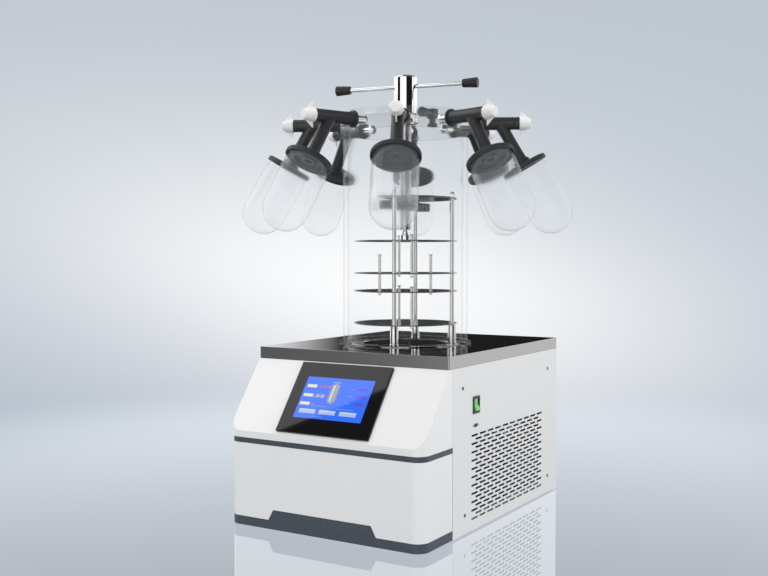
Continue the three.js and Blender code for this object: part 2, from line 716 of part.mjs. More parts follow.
// ---- Press ----
function makeFoot() {
  const low = shelfTop(0) + gap;
  const top = low + foot.height;
  const bossTop = top + foot.bossHeight;
  const boss = joined(rod(foot.radius, low, top), rod(foot.boss, top - bite, bossTop));
  const socket = boreFor(screw.tip, sides.medium);
  return cut(boss, rod(socket, bossTop - foot.socket, bossTop + through));
}

const barLevel = hubBottom + screw.hubHeight - bar.drop;

function makeScrew() {
  const { radius, shoulder, tip, hub, hubHeight, hubRound } = screw;
  const footTop = shelfTop(0) + gap + foot.height + foot.bossHeight;
  const top = hubBottom + hubHeight;
  const profile = [
    [0, footTop - foot.socket + gap],
    [tip, footTop - foot.socket + gap],
    [tip, footTop + shoulder],
    [radius, footTop + shoulder],
    [radius, hubBottom],
    [hub, hubBottom],
    ...arc(hub - hubRound, top - hubRound, hubRound, 0, 90, 3),
    [0, top],
  ];
  const hole = turnedZ(rodX(bar.radius + gap, -hub * 2, hub * 2, barLevel, sides.small), bar.angle);
  return cut(turned(profile, sides.medium), hole);
}

// A rod through the hub with a tapered grip on each end.
function makeBar() {
  const end = bar.length / 2;
  const start = end - grip.length;
  const arms = [0, 180].map((turn) =>
    turnedZ(
      joined(
        rodX(bar.radius, 0, start + bite, barLevel, sides.small),
        rodX(grip.inner, start, end, barLevel, sides.port, grip.outer),
      ),
      turn,
    ),
  );
  return turnedZ(joined(...arms), bar.angle);
}

function makeGland() {
  const { outer, flangeThick, below } = gland;
  const flange = outer + gland.flange;
  const top = lidTop - gap;
  const bottom = lidBottom - gap - below;
  const inner = boreFor(screw.radius, sides.medium);
  const profile = [
    [inner, bottom],
    [outer, bottom],
    [outer, lidBottom - gap - flangeThick],
    [flange, lidBottom - gap - flangeThick],
    [flange, lidBottom - gap],
    [outer, lidBottom - gap],
    [outer, top],
    [inner, top],
    [inner, bottom],
  ];
  return turned(profile, sides.medium);
}

add(dryer, "press_foot", makeFoot(), steel, 0.3, 0.9);
add(dryer, "press_screw", makeScrew(), chrome, 0.12, 1);
add(dryer, "press_bar", makeBar(), chrome, 0.12, 1);
add(dryer, "screw_gland", makeGland(), chrome, 0.2, 0.9);

// ---- Vent valve on the lid ----
const ventLevel = lidTop + vent.axis;

function makeVentBody() {
  const { stem, nut, nutThick, block: width, height } = vent;
  const [low, high] = [lidTop + gap, lidTop + gap + height];
  const upright = joined(
    rod(stem, lidBottom - gap - nutThick, low + bite, sides.small),
    rod(nut, lidBottom - gap - nutThick, lidBottom - gap, 6),
    block(-width, width, -width, width, low, high),
  );
  const seat = boreFor(ventKnob.shank, sides.fine);
  return cut(upright, rodX(seat, width - ventKnob.shankLength, width + through, ventLevel, sides.fine));
}

function makeVentKnob() {
  const { large, small, length, shank, shankLength } = ventKnob;
  const start = vent.block + gap;
  return joined(
    rodX(small, start, start + length, ventLevel, sides.port, large),
    rodX(shank, start - shankLength + gap, start + bite, ventLevel, sides.fine),
  );
}

const ventGroup = new THREE.Group();
ventGroup.position.set(vent.x, vent.y, 0);
ventGroup.rotation.z = rad(vent.turn - 90);
dryer.add(ventGroup);
add(ventGroup, "vent_valve_body", makeVentBody(), chrome, 0.2, 0.9);
add(ventGroup, "vent_valve_knob", makeVentKnob(), black, 0.45);

export default dryer;
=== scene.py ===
import json
import math

import bmesh
import bpy
from mathutils import Matrix, Vector


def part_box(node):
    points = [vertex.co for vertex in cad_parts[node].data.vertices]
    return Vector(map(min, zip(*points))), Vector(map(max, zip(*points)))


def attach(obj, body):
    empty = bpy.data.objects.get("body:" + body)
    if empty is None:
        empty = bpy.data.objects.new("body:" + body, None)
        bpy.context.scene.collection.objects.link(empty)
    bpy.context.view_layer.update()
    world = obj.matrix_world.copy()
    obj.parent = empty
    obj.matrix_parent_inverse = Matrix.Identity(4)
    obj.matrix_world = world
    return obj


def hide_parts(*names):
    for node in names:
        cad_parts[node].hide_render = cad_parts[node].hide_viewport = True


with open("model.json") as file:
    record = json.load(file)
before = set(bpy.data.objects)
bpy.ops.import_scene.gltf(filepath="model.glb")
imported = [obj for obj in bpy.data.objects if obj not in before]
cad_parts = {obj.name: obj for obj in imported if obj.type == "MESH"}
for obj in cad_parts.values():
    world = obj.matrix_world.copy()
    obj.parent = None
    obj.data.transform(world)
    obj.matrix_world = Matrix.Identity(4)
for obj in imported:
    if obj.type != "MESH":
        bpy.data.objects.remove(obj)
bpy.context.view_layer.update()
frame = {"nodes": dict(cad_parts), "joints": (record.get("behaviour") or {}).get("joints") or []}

mm = 0.001
scene = bpy.context.scene
nodes = frame["nodes"]


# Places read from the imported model, in millimetres.
def lowOf(node):
    return Vector(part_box(node)[0]) / mm


def highOf(node):
    return Vector(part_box(node)[1]) / mm


def compass(degrees, radius, height=0.0):  # clockwise from the front, seen from above
    turn = math.radians(degrees)
    return Vector((radius * math.sin(turn), -radius * math.cos(turn), height))


def turnAbout(axis, degrees):
    return Matrix.Rotation(math.radians(degrees), 4, axis)


alongX = turnAbout("Y", 90)  # lays a shape made along Z along X

# Camera and stage first
view = {"place": (1.0624, -1.8316, 0.5218), "toward": (-0.5196, 0.8538, -0.0312), "lens": 47.46, "sensor": 36}


def aimed(place, toward, across=None):
    back = -Vector(toward).normalized()
    right = Vector(across) if across else Vector((0, 0, 1)).cross(back)
    right = (right - back * right.dot(back)).normalized()
    turn = Matrix((right, back.cross(right), back)).transposed().to_4x4()
    return Matrix.Translation(place) @ turn


camera = bpy.data.objects.new("camera", bpy.data.cameras.new("camera"))
scene.collection.objects.link(camera)
camera.data.lens, camera.data.sensor_width = view["lens"], view["sensor"]
camera.data.clip_end = 100
camera.matrix_world = aimed(view["place"], view["toward"])
scene.camera = camera
scene.view_settings.view_transform = "Standard"
scene.cycles.max_bounces = 24
scene.cycles.transmission_bounces = 24
scene.cycles.transparent_max_bounces = 24
scene.cycles.glossy_bounces = 6
scene.cycles.diffuse_bounces = 4


# Node helpers
def nodeOf(tree, kind, values=None, **settings):
    made = tree.nodes.new("ShaderNode" + kind)
    for key, value in settings.items():
        setattr(made, key, value)
    for key, value in (values or {}).items():
        if isinstance(value, bpy.types.NodeSocket):
            tree.links.new(value, made.inputs[key])
        else:
            made.inputs[key].default_value = value
    return made


def maths(tree, operation, a, b=0.5, clamp=False):
    return nodeOf(tree, "Math", {0: a, 1: b}, operation=operation, use_clamp=clamp).outputs[0]


def ranged(tree, value, start, end, first=0.0, last=1.0, ease="LINEAR"):
    values = {"Value": value, "From Min": start, "From Max": end, "To Min": first, "To Max": last}
    return nodeOf(tree, "MapRange", values, interpolation_type=ease).outputs[0]


def mixed(tree, share, first, second, blend="MIX"):
    tones = {0: share, 6: first, 7: second}
    return nodeOf(tree, "Mix", tones, data_type="RGBA", blend_type=blend).outputs[2]


def scaled(tree, tone, share):
    return nodeOf(tree, "VectorMath", {0: tone, "Scale": share}, operation="SCALE").outputs[0]


def grey(level):
    return level, level, level, 1


def freshFinish(name):
    made = bpy.data.materials.new(name)
    made.use_nodes = True
    return made, made.node_tree, made.node_tree.nodes["Principled BSDF"]


def setInputs(shader, values):
    for socket, value in values.items():
        shader.inputs[socket].default_value = value


def ramp(tree, factor, stops):
    made = nodeOf(tree, "ValToRGB", {"Fac": factor})
    while len(made.color_ramp.elements) < len(stops):
        made.color_ramp.elements.new(0.5)
    for element, (place, tone) in zip(made.color_ramp.elements, stops):
        element.position = place
        element.color = (*tone, 1)
    return made.outputs["Color"]


def tint(red, green, blue):  # a screen colour, 0 to 255, as the renderer's linear one
    return tuple(((c / 255 + 0.055) / 1.055) ** 2.4 for c in (red, green, blue))


# Studio: a pale surround, and strips and flags that only the reflections meet
studio = {
    "base": [(0.0, (168, 176, 186)), (0.388, (165, 178, 191)), (0.436, (178, 188, 200)),
             (0.486, (186, 195, 206)),
             (0.56, (190, 199, 208)), (0.612, (189, 197, 206)), (1.0, (180, 189, 199))],
    "glow": {"aside": -0.025, "above": -0.015, "turn": -10.7, "wide": 1.93, "tall": 5.21, "fall": -2.55,
             "tone": (0.485, 0.435, 0.372)},
    "strips": [(0.0, 1.3), (0.296, 1.3), (0.302, 0.01), (0.434, 0.02), (0.440, 1.35), (0.601, 1.35),
               (0.607, 0.01),
               (0.776, 0.01), (0.784, 1.25), (0.829, 1.25), (0.832, 0.02), (0.840, 0.02), (0.843, 1.1),
               (1.0, 1.15)],
    "behind": [(0.0, 1.0), (0.03, 1.0), (0.045, 0.01), (0.0915, 0.015), (0.0945, 0.045), (0.0965, 0.2),
               (0.1, 0.45),
               (0.106, 0.8)],
    "behindTop": (0.12, 0.14),  # heights of the rays' direction over which each part fades
    "overhead": (0.42, 0.5),
    "floorSees": (0.16, 0.3),
    "ceiling": 0.12,
    "ambient": 0.72,
}


def buildSurround():
    world = bpy.data.worlds.new("studio")
    scene.world = world
    world.use_nodes = True
    tree = world.node_tree
    tree.nodes.clear()
    way = nodeOf(tree, "TexCoord").outputs["Generated"]
    x, y, z = nodeOf(tree, "SeparateXYZ", {0: way}).outputs
    rise = ranged(tree, z, -1.0, 1.0)
    base = ramp(tree, rise, [(place, tint(*tone)) for place, tone in studio["base"]])

    glow = studio["glow"]
    ahead = Vector(view["toward"]).normalized()
    right = ahead.cross(Vector((0, 0, 1))).normalized()
    up = right.cross(ahead)
    ahead = (ahead + right * glow["aside"] + up * glow["above"]).normalized()
    turn = Matrix.Rotation(math.radians(-glow["turn"]), 3, ahead)

    def along(axis):
        return nodeOf(tree, "VectorMath", {0: way, 1: tuple(axis)}, operation="DOT_PRODUCT").outputs["Value"]

    depth = maths(tree, "MAXIMUM", along(ahead), 0.02)
    squares = []
    for axis, width in ((turn @ right, glow["wide"]), (turn @ up, glow["tall"])):
        share = maths(tree, "MULTIPLY", maths(tree, "DIVIDE", along(axis), depth), width)
        squares.append(maths(tree, "POWER", maths(tree, "ABSOLUTE", share), 2.0))
    reach = maths(tree, "ADD", maths(tree, "ADD", squares[0], squares[1]), 1.0)
    bright = maths(tree, "POWER", reach, glow["fall"])
    lit = scaled(tree, glow["tone"], bright)
    surround = nodeOf(tree, "VectorMath", {0: base, 1: lit}, operation="ADD").outputs[0]

    bearing = maths(tree, "ARCTAN2", x, maths(tree, "MULTIPLY", y, -1))
    around = ranged(tree, bearing, -math.pi, math.pi)
    strips, behind = (ramp(tree, around, [(place, (tone,) * 3) for place, tone in studio[key]])
                      for key in ("strips", "behind"))
    hood = mixed(tree, ranged(tree, z, *studio["behindTop"]), behind, grey(1))
    strips = mixed(tree, 1.0, strips, hood, "MULTIPLY")
    gloss = mixed(tree, ranged(tree, z, *studio["overhead"]), strips, grey(studio["ceiling"]))
    rays = nodeOf(tree, "LightPath").outputs
    outside = maths(tree, "LESS_THAN", rays["Transmission Depth"], 0.5)
    straight = maths(tree, "MULTIPLY", rays["Is Singular Ray"], outside)
    glossy = maths(tree, "GREATER_THAN", rays["Glossy Depth"], 0.5)
    mirrored = maths(tree, "SUBTRACT", glossy, straight, clamp=True)
    bounced = maths(tree, "SUBTRACT", straight, rays["Is Camera Ray"], clamp=True)
    share = maths(tree, "MULTIPLY", bounced, ranged(tree, z, *studio["floorSees"]))
    surround = scaled(tree, surround, maths(tree, "SUBTRACT", 1.0, share))
    tone = mixed(tree, mirrored, surround, gloss)
    tone = mixed(tree, rays["Is Diffuse Ray"], tone, grey(studio["ambient"]))
    back = nodeOf(tree, "Background", {"Color": tone})
    tree.links.new(back.outputs[0], nodeOf(tree, "OutputWorld").inputs[0])


lamps = {
    "panelBox": {"place": (-1.336, -0.379, 1.88), "toward": (0.539, 0.357, -0.763),
                 "across": (0.7575, 0.1898, 0.6246),
                 "size": (2.4, 1.4), "power": 17},
    "keyBox": {"place": (-0.9, -2.9, 1.9), "toward": (0.3, 0.9, -0.52), "across": None, "size": (1.8, 1.2),
               "power": 24},
    "sideBox": {"place": (3.0, -0.4, 1.2), "toward": (-1, 0.1, -0.28), "across": None, "size": (1.4, 1.8),
                "power": 26},
    "topBox": {"place": (0.3, 0.3, 2.9), "toward": (0, 0, -1), "across": (1, 0, 0), "size": (1.6, 1.6),
               "power": 16},
}


def hangLamps():
    for name, lamp in lamps.items():
        data = bpy.data.lights.new(name, "AREA")
        data.shape = "RECTANGLE"
        data.size, data.size_y = lamp["size"]
        data.energy = lamp["power"]
        box = bpy.data.objects.new(name, data)
        box.matrix_world = aimed(lamp["place"], lamp["toward"], lamp["across"])
        box.visible_camera = False
        box.visible_transmission = False
        box.visible_glossy = name == "panelBox"
        box.visible_diffuse = name != "panelBox"
        scene.collection.objects.link(box)


floorLook = {"reach": 6.0, "solid": 0.6, "gone": 2.1, "mirror": 0.15, "tone": (0.452, 0.482, 0.53)}


def layFloor():
    mesh = bmesh.new()
    bmesh.ops.create_circle(mesh, cap_ends=True, radius=floorLook["reach"], segments=96)
    data = bpy.data.meshes.new("floor")
    mesh.to_mesh(data)
    mesh.free()
    floor = bpy.data.objects.new("floor", data)
    scene.collection.objects.link(floor)
    gloss, tree, shader = freshFinish("floor_gloss")
    place = nodeOf(tree, "TexCoord").outputs["Object"]
    far = nodeOf(tree, "VectorMath", {0: place}, operation="LENGTH").outputs["Value"]
    fade = ranged(tree, far, floorLook["solid"], floorLook["gone"], 1.0, 0.0, "SMOOTHSTEP")
    tree.links.new(fade, shader.inputs["Alpha"])
    setInputs(shader, {"Emission Color": (*floorLook["tone"], 1), "Emission Strength": 1.0,
                       "Base Color": grey(floorLook["mirror"]), "Roughness": 0.0, "Metallic": 1.0})
    data.materials.append(gloss)
    unlit = bpy.data.collections.new("unlit")  # the panel's lamp doesn't show in the floor
    unlit.objects.link(floor)
    scene.objects["panelBox"].light_linking.receiver_collection = unlit
    unlit.collection_objects[0].light_linking.link_state = "EXCLUDE"


buildSurround()
hangLamps()
layFloor()
print("studio ready")


# Shared effects, each a node group with its own inputs and outputs
def newGroup(name, takes, gives):
    group = bpy.data.node_groups.new(name, "ShaderNodeTree")
    for label, kind, value in takes:
        socket = group.interface.new_socket(name=label, in_out="INPUT", socket_type="NodeSocket" + kind)
        socket.default_value = value
    for label, kind in gives:
        group.interface.new_socket(name=label, in_out="OUTPUT", socket_type="NodeSocket" + kind)
    return group, group.nodes.new("NodeGroupInput").outputs, group.nodes.new("NodeGroupOutput").inputs


def noise(tree, vector, scale, detail=2.0, rough=0.5):
    return nodeOf(tree, "TexNoise", {"Vector": vector, "Scale": scale, "Detail": detail,
                                     "Roughness": rough}).outputs["Fac"]


def buildMottle():  # slow change of tone and gloss, with a fine grain on top
    group, takes, gives = newGroup(
        "mottle",
        [("Color", "Color", (0.8, 0.8, 0.8, 1)), ("Shade", "Float", 0.03), ("Patch", "Float", 6.0),
         ("Roughness", "Float", 0.4), ("Spread", "Float", 0.05), ("Grain", "Float", 700.0),
         ("Stretch", "Vector", (1, 1, 1))],
        [("Color", "Color"), ("Roughness", "Float"), ("Height", "Float")],
    )
    place = nodeOf(group, "TexCoord").outputs["Object"]
    pulled = nodeOf(group, "VectorMath", {0: place, 1: takes["Stretch"]}, operation="MULTIPLY").outputs[0]
    patch = maths(group, "SUBTRACT", noise(group, place, takes["Patch"], 3.0), 0.5)
    lift = maths(group, "ADD", maths(group, "MULTIPLY", maths(group, "MULTIPLY", patch, 4.0), takes["Shade"]),
                 1.0)
    toned = scaled(group, takes["Color"], lift)
    grain = noise(group, pulled, takes["Grain"], 2.0)
    blur = maths(group, "MULTIPLY", maths(group, "SUBTRACT", grain, 0.5), takes["Spread"])
    slow = maths(group, "MULTIPLY", patch, takes["Spread"])
    gloss = maths(group, "ADD", maths(group, "ADD", blur, slow), takes["Roughness"], clamp=True)
    group.links.new(toned, gives["Color"])
    group.links.new(gloss, gives["Roughness"])
    group.links.new(grain, gives["Height"])
    return group


def buildEdgeWearAndHighlight():  # a mask that rises on outside corners, broken up so that it isn't a drawn line; it gives worn edges, and on the shelf steel a painted highlight along the rims
    group, takes, gives = newGroup(
        "edge_wear_and_highlight",
        [("Base", "Color", (0.1, 0.1, 0.1, 1)), ("BareAndHighlight", "Color", (0.5, 0.5, 0.5, 1)),
         ("Amount", "Float", 0.3),
         ("Break", "Float", 90.0)],
        [("Color", "Color"), ("Mask", "Float")],
    )
    place = nodeOf(group, "TexCoord").outputs["Object"]
    corner = nodeOf(group, "NewGeometry").outputs["Pointiness"]
    rim = ranged(group, corner, 0.51, 0.6)
    broken = ranged(group, noise(group, place, takes["Break"], 3.0, 0.65), 0.42, 0.6)
    mask = maths(group, "MULTIPLY", maths(group, "MULTIPLY", rim, broken), takes["Amount"], clamp=True)
    group.links.new(mixed(group, mask, takes["Base"], takes["BareAndHighlight"]), gives["Color"])
    group.links.new(mask, gives["Mask"])
    return group


mottle, edgeWearAndHighlight = buildMottle(), buildEdgeWearAndHighlight()


def dressed(name, look):
    made, tree, shader = freshFinish(name)
    base = nodeOf(tree, "Group", node_tree=mottle)
    base.inputs["Color"].default_value = (*look["color"], 1)
    for key in ("Shade", "Patch", "Roughness", "Spread", "Grain", "Stretch"):
        if key.lower() in look:
            base.inputs[key].default_value = look[key.lower()]
    color = base.outputs["Color"]
    # edge tone: wear on most finishes, a painted highlight on the shelf steel
    if "bare" in look:
        edge = nodeOf(tree, "Group", {"Base": color, "BareAndHighlight": (*look["bare"], 1)}, node_tree=edgeWearAndHighlight)
        edge.inputs["Amount"].default_value = look.get("wearAndHighlight", 0.3)
        color = edge.outputs["Color"]
    if "paintedShadeWithin" in look:  # painted shade: a sheet's inner side and the walls of its slots are painted near-black, standing in for the shade inside the housing
        across = nodeOf(tree, "SeparateXYZ", {0: nodeOf(tree, "TexCoord").outputs["Object"]}).outputs[0]
        inPaintedShade = maths(tree, "LESS_THAN", maths(tree, "ABSOLUTE", across), look["paintedShadeWithin"])
        color = mixed(tree, inPaintedShade, color, (0.008, 0.008, 0.009, 1))
    tree.links.new(color, shader.inputs["Base Color"])
    tree.links.new(base.outputs["Roughness"], shader.inputs["Roughness"])
    bump = nodeOf(tree, "Bump", {"Height": base.outputs["Height"], "Strength": look.get("bump", 0.1),
                                 "Distance": look.get("deep", 0.00005)})
    tree.links.new(bump.outputs[0], shader.inputs["Normal"])
    setInputs(shader, look.get("plain", {}))
    return made


def glassOf(name, look):  # clear to lamps, so that what stands behind it isn't left in the dark
    made, tree, shader = freshFinish(name)
    place = nodeOf(tree, "TexCoord").outputs["Object"]
    clearest = look["roughness"]
    haze = ranged(tree, noise(tree, place, look["patch"], 3.0), 0.45, 0.75, clearest,
                  clearest + look["spread"])
    tree.links.new(haze, shader.inputs["Roughness"])
    setInputs(shader, {"Base Color": (*look["color"], 1), "IOR": look["ior"], "Alpha": look["alpha"],
                       "Transmission Weight": look["through"], "Coat Weight": look["coat"],
                       "Coat IOR": look["coatIor"], "Coat Roughness": 0.02})
    clear = nodeOf(tree, "BsdfTransparent", {"Color": (*look["shadow"], 1)})
    ray = nodeOf(tree, "LightPath").outputs["Is Shadow Ray"]
    both = nodeOf(tree, "MixShader", {0: ray, 1: shader.outputs[0], 2: clear.outputs[0]})
    tree.links.new(both.outputs[0], tree.nodes["Material Output"].inputs[0])
    return made


looks = {
    "frontGloss": {"color": (0.855, 0.855, 0.85), "shade": 0.004, "patch": 5, "roughness": 0.24,
                   "spread": 0.05,
                   "grain": 420, "bump": 0.05, "plain": {"Coat Weight": 0.25, "Coat Roughness": 0.06}},
    "trimSlate": {"color": (0.052, 0.066, 0.082), "shade": 0.03, "patch": 9, "roughness": 0.42,
                  "spread": 0.12,
                  "grain": 1500, "bump": 0.35, "bare": (0.16, 0.18, 0.2), "wearAndHighlight": 0.35},
    "panelPowder": {"color": (0.80, 0.80, 0.795), "shade": 0.006, "patch": 4, "roughness": 0.46,
                    "spread": 0.16,
                    "grain": 1100, "bump": 0.3, "deep": 0.00008},
    "brushedSkirt": {"color": (0.48, 0.48, 0.48), "shade": 0.02, "patch": 3, "roughness": 0.24,
                     "spread": 0.08,
                     "grain": 1.0, "stretch": (12, 12, 2600), "bump": 0.15, "deep": 0.00002,
                     "plain": {"Metallic": 0.82}},
    "panTop": {"color": (0.30, 0.303, 0.306), "shade": 0.03, "patch": 5, "roughness": 0.02, "spread": 0.02,
               "grain": 1.0, "stretch": (2200, 9, 9), "bump": 0.04, "deep": 0.00001,
               "plain": {"Metallic": 1.0}},
    "trayPaint": {"color": (0.13, 0.132, 0.136), "shade": 0.06, "patch": 12, "roughness": 0.55, "spread": 0.2,
                  "grain": 900, "bump": 0.3, "bare": (0.35, 0.35, 0.36), "wearAndHighlight": 0.3},
    "rubberFoot": {"color": (0.018, 0.018, 0.019), "shade": 0.08, "patch": 30, "roughness": 0.75,
                   "spread": 0.2,
                   "grain": 1400, "bump": 0.5},
    "panelGlass": {"color": (0.0045, 0.0045, 0.005), "shade": 0.02, "patch": 8, "roughness": 0.035,
                   "spread": 0.02,
                   "grain": 300, "bump": 0.0, "plain": {"IOR": 1.45}},
    "switchBlack": {"color": (0.02, 0.02, 0.021), "shade": 0.05, "patch": 40, "roughness": 0.36,
                    "spread": 0.14,
                    "grain": 2400, "bump": 0.35, "bare": (0.09, 0.09, 0.09), "wearAndHighlight": 0.3},
    "rockerGreen": {"color": (0.07, 0.40, 0.09), "shade": 0.05, "patch": 60, "roughness": 0.2, "spread": 0.06,
                    "grain": 1500, "bump": 0.05,
                    "plain": {"Coat Weight": 0.6, "Emission Color": (0.05, 0.5, 0.07, 1),
                             "Emission Strength": 0.25}},
    "markPaint": {"color": (0.75, 0.76, 0.76), "shade": 0.03, "patch": 60, "roughness": 0.5, "spread": 0.1,
                  "grain": 1500, "bump": 0.1},
    "trapSteel": {"color": (0.34, 0.343, 0.346), "shade": 0.04, "patch": 6, "roughness": 0.09, "spread": 0.1,
                  "grain": 1.0, "stretch": (30, 30, 1800), "bump": 0.15, "deep": 0.00002,
                  "plain": {"Metallic": 1.0}},
    "copperTube": {"color": (0.68, 0.30, 0.16), "shade": 0.12, "patch": 25, "roughness": 0.3, "spread": 0.3,
                   "grain": 300, "bump": 0.1, "bare": (0.85, 0.5, 0.34), "wearAndHighlight": 0.4,
                   "plain": {"Metallic": 1.0}},
    "canBlack": {"color": (0.014, 0.014, 0.015), "shade": 0.05, "patch": 8, "roughness": 0.28, "spread": 0.1,
                 "grain": 500, "bump": 0.15, "bare": (0.08, 0.08, 0.08), "wearAndHighlight": 0.3},
    # near-black condenser fins: painted shade, so that the view through the side slots reads dark
    "finPaintedShade": {"color": (0.013, 0.013, 0.014), "shade": 0.06, "patch": 14, "roughness": 0.5, "spread": 0.2,
                 "grain": 1.0, "stretch": (400, 2400, 30), "bump": 0.25},
    "fanPlastic": {"color": (0.016, 0.016, 0.017), "shade": 0.06, "patch": 30, "roughness": 0.5,
                   "spread": 0.15,
                   "grain": 1600, "bump": 0.3},
    "valvePlastic": {"color": (0.026, 0.027, 0.029), "shade": 0.05, "patch": 22, "roughness": 0.4,
                     "spread": 0.16,
                     "grain": 1500, "bump": 0.4, "bare": (0.075, 0.077, 0.08), "wearAndHighlight": 0.3},
    "bellRubber": {"color": (0.028, 0.029, 0.030), "shade": 0.08, "patch": 30, "roughness": 0.52,
                   "spread": 0.18,
                   "grain": 1200, "bump": 0.4, "bare": (0.09, 0.09, 0.092), "wearAndHighlight": 0.25},
    "knobNylon": {"color": (0.80, 0.80, 0.785), "shade": 0.012, "patch": 30, "roughness": 0.42,
                  "spread": 0.12,
                  "grain": 1300, "bump": 0.25,
                  "plain": {"Subsurface Weight": 0.15, "Subsurface Scale": 0.004}},
    "pressChrome": {"color": (0.90, 0.905, 0.91), "shade": 0.01, "patch": 20, "roughness": 0.05,
                    "spread": 0.04,
                    "grain": 800, "bump": 0.02, "plain": {"Metallic": 1.0}},
    "threadSteel": {"color": (0.70, 0.705, 0.71), "shade": 0.05, "patch": 20, "roughness": 0.16,
                    "spread": 0.1,
                    "grain": 900, "bump": 0.08, "bare": (0.92, 0.92, 0.93), "wearAndHighlight": 0.4,
                    "plain": {"Metallic": 1.0}},
    "gripBlack": {"color": (0.013, 0.013, 0.014), "shade": 0.06, "patch": 40, "roughness": 0.46,
                  "spread": 0.2,
                  "grain": 1700, "bump": 0.5, "bare": (0.07, 0.07, 0.072), "wearAndHighlight": 0.3},
    "rackSteel": {"color": (0.80, 0.805, 0.81), "shade": 0.02, "patch": 16, "roughness": 0.08, "spread": 0.05,
                  "grain": 1.0, "stretch": (900, 900, 40), "bump": 0.05, "deep": 0.00001,
                  "plain": {"Metallic": 1.0}},
    # the shelf steel's bright edge tone is a painted highlight along the rims of the shelves and the crown
    # plate
    "shelfSteel": {"color": (0.17, 0.172, 0.175), "shade": 0.05, "patch": 9, "roughness": 0.07,
                   "spread": 0.06,
                   "grain": 1.0, "stretch": (1800, 22, 22), "bump": 0.04, "deep": 0.00001,
                   "bare": (0.75, 0.75, 0.76),
                   "wearAndHighlight": 0.7, "plain": {"Metallic": 1.0}},
    "bridgeBlack": {"color": (0.016, 0.016, 0.018), "shade": 0.04, "patch": 12, "roughness": 0.14,
                    "spread": 0.06,
                    "grain": 700, "bump": 0.05, "bare": (0.1, 0.1, 0.1), "wearAndHighlight": 0.3},
    "screwSteel": {"color": (0.22, 0.22, 0.225), "shade": 0.06, "patch": 80, "roughness": 0.32,
                   "spread": 0.15,
                   "grain": 1600, "bump": 0.15, "bare": (0.45, 0.45, 0.46), "wearAndHighlight": 0.3,
                   "plain": {"Metallic": 1.0}},
    "rubberSeal": {"color": (0.02, 0.02, 0.021), "shade": 0.06, "patch": 40, "roughness": 0.6, "spread": 0.2,
                   "grain": 1500, "bump": 0.4},
    "brass": {"color": (0.72, 0.52, 0.25), "shade": 0.06, "patch": 50, "roughness": 0.24, "spread": 0.12,
              "grain": 1200, "bump": 0.1, "plain": {"Metallic": 1.0}},
}
# the side sheets carry painted shade: near-black on their inner side and on the walls of their slots
looks["sidePowderPaintedShade"] = {**looks["panelPowder"], "paintedShadeWithin": highOf("side_panel_right").x * mm - 0.0002}
clears = {
    "chamberAcrylic": {"color": (0.985, 0.99, 0.99), "patch": 5, "roughness": 0.002, "spread": 0.002,
                       "ior": 1.025,
                       "shadow": (0.94, 0.945, 0.95), "through": 0.93, "alpha": 0.2, "coat": 0.6,
                       "coatIor": 1.35},
    "headAcrylic": {"color": (0.62, 0.62, 0.605), "patch": 6, "roughness": 0.003, "spread": 0.003,
                    "ior": 1.025,
                    "shadow": (0.90, 0.905, 0.91), "through": 0.35, "alpha": 0.11, "coat": 0.6,
                    "coatIor": 1.4},
    "flaskGlass": {"color": (0.99, 0.99, 0.99), "patch": 9, "roughness": 0.002, "spread": 0.002, "ior": 1.04,
                   "shadow": (0.95, 0.955, 0.96), "through": 0.8, "alpha": 0.2, "coat": 0.85,
                   "coatIor": 1.55},
    "sealSilicone": {"color": (0.90, 0.915, 0.92), "patch": 18, "roughness": 0.002, "spread": 0.002,
                     "ior": 1.02,
                     "shadow": (0.85, 0.86, 0.87), "through": 0.98, "alpha": 0.08, "coat": 0.15,
                     "coatIor": 1.35},
}
finish = {name: dressed(name, look) for name, look in looks.items()}
finish.update({name: glassOf(name, look) for name, look in clears.items()})
print("finishes ready:", len(finish))


# Modelling helpers, all in millimetres
def wire(points, closed=False, rounds=()):
    mesh = bmesh.new()
    dots = [mesh.verts.new((radius, 0, height)) for radius, height in points]
    for pair in zip(dots, dots[1:] + (dots[:1] if closed else [])):
        mesh.edges.new(pair)
    for place, radius, segments in rounds:
        bmesh.ops.bevel(mesh, geom=[dots[place]], offset=radius, offset_type="OFFSET", segments=segments,
                        profile=0.5,
                        affect="VERTICES", clamp_overlap=False, material=-1)
    return mesh


def turned(points, steps=64, closed=False, rounds=()):
    mesh = wire(points, closed, rounds)
    bmesh.ops.spin(mesh, geom=mesh.verts[:] + mesh.edges[:], cent=(0, 0, 0), axis=(0, 0, 1),
                   angle=2 * math.pi,
                   steps=steps, use_merge=True)
    bmesh.ops.remove_doubles(mesh, verts=mesh.verts, dist=0.001)
    bmesh.ops.recalc_face_normals(mesh, faces=mesh.faces)
    return mesh


def rod(radius, low, high, steps=32, edge=0.0, tip=None):
    tip = radius if tip is None else tip
    rounds = [(1, edge, 2), (2, edge, 2)] if edge else []
    return turned([(0, low), (radius, low), (tip, high), (0, high)], steps, rounds=rounds)


def ringOf(inner, outer, low, high, steps=64, edge=0.0):
    rounds = [(i, edge, 2) for i in range(4)] if edge else []
    return turned([(inner, low), (outer, low), (outer, high), (inner, high)], steps, True, rounds)


def rounded(mesh, edges, width, segments=5, clamp=False):
    bmesh.ops.bevel(mesh, geom=edges, offset=width, offset_type="OFFSET", segments=segments, profile=0.5,
                    affect="EDGES", clamp_overlap=clamp, material=-1)
    return mesh


def edgesAlong(mesh, axis):  # of a slab, with 0, 1 and 2 for x, y and z
    return [e for e in mesh.edges if e.verts[0].co[axis] != e.verts[1].co[axis]]


def softened(mesh, width, segments=2, sharpAt=25, where=None):
    bend = math.radians(sharpAt)
    sharp = [e for e in mesh.edges if e.is_manifold and e.calc_face_angle(0) > bend]
    return rounded(mesh, [e for e in sharp if where is None or where(e)], width, segments, True)


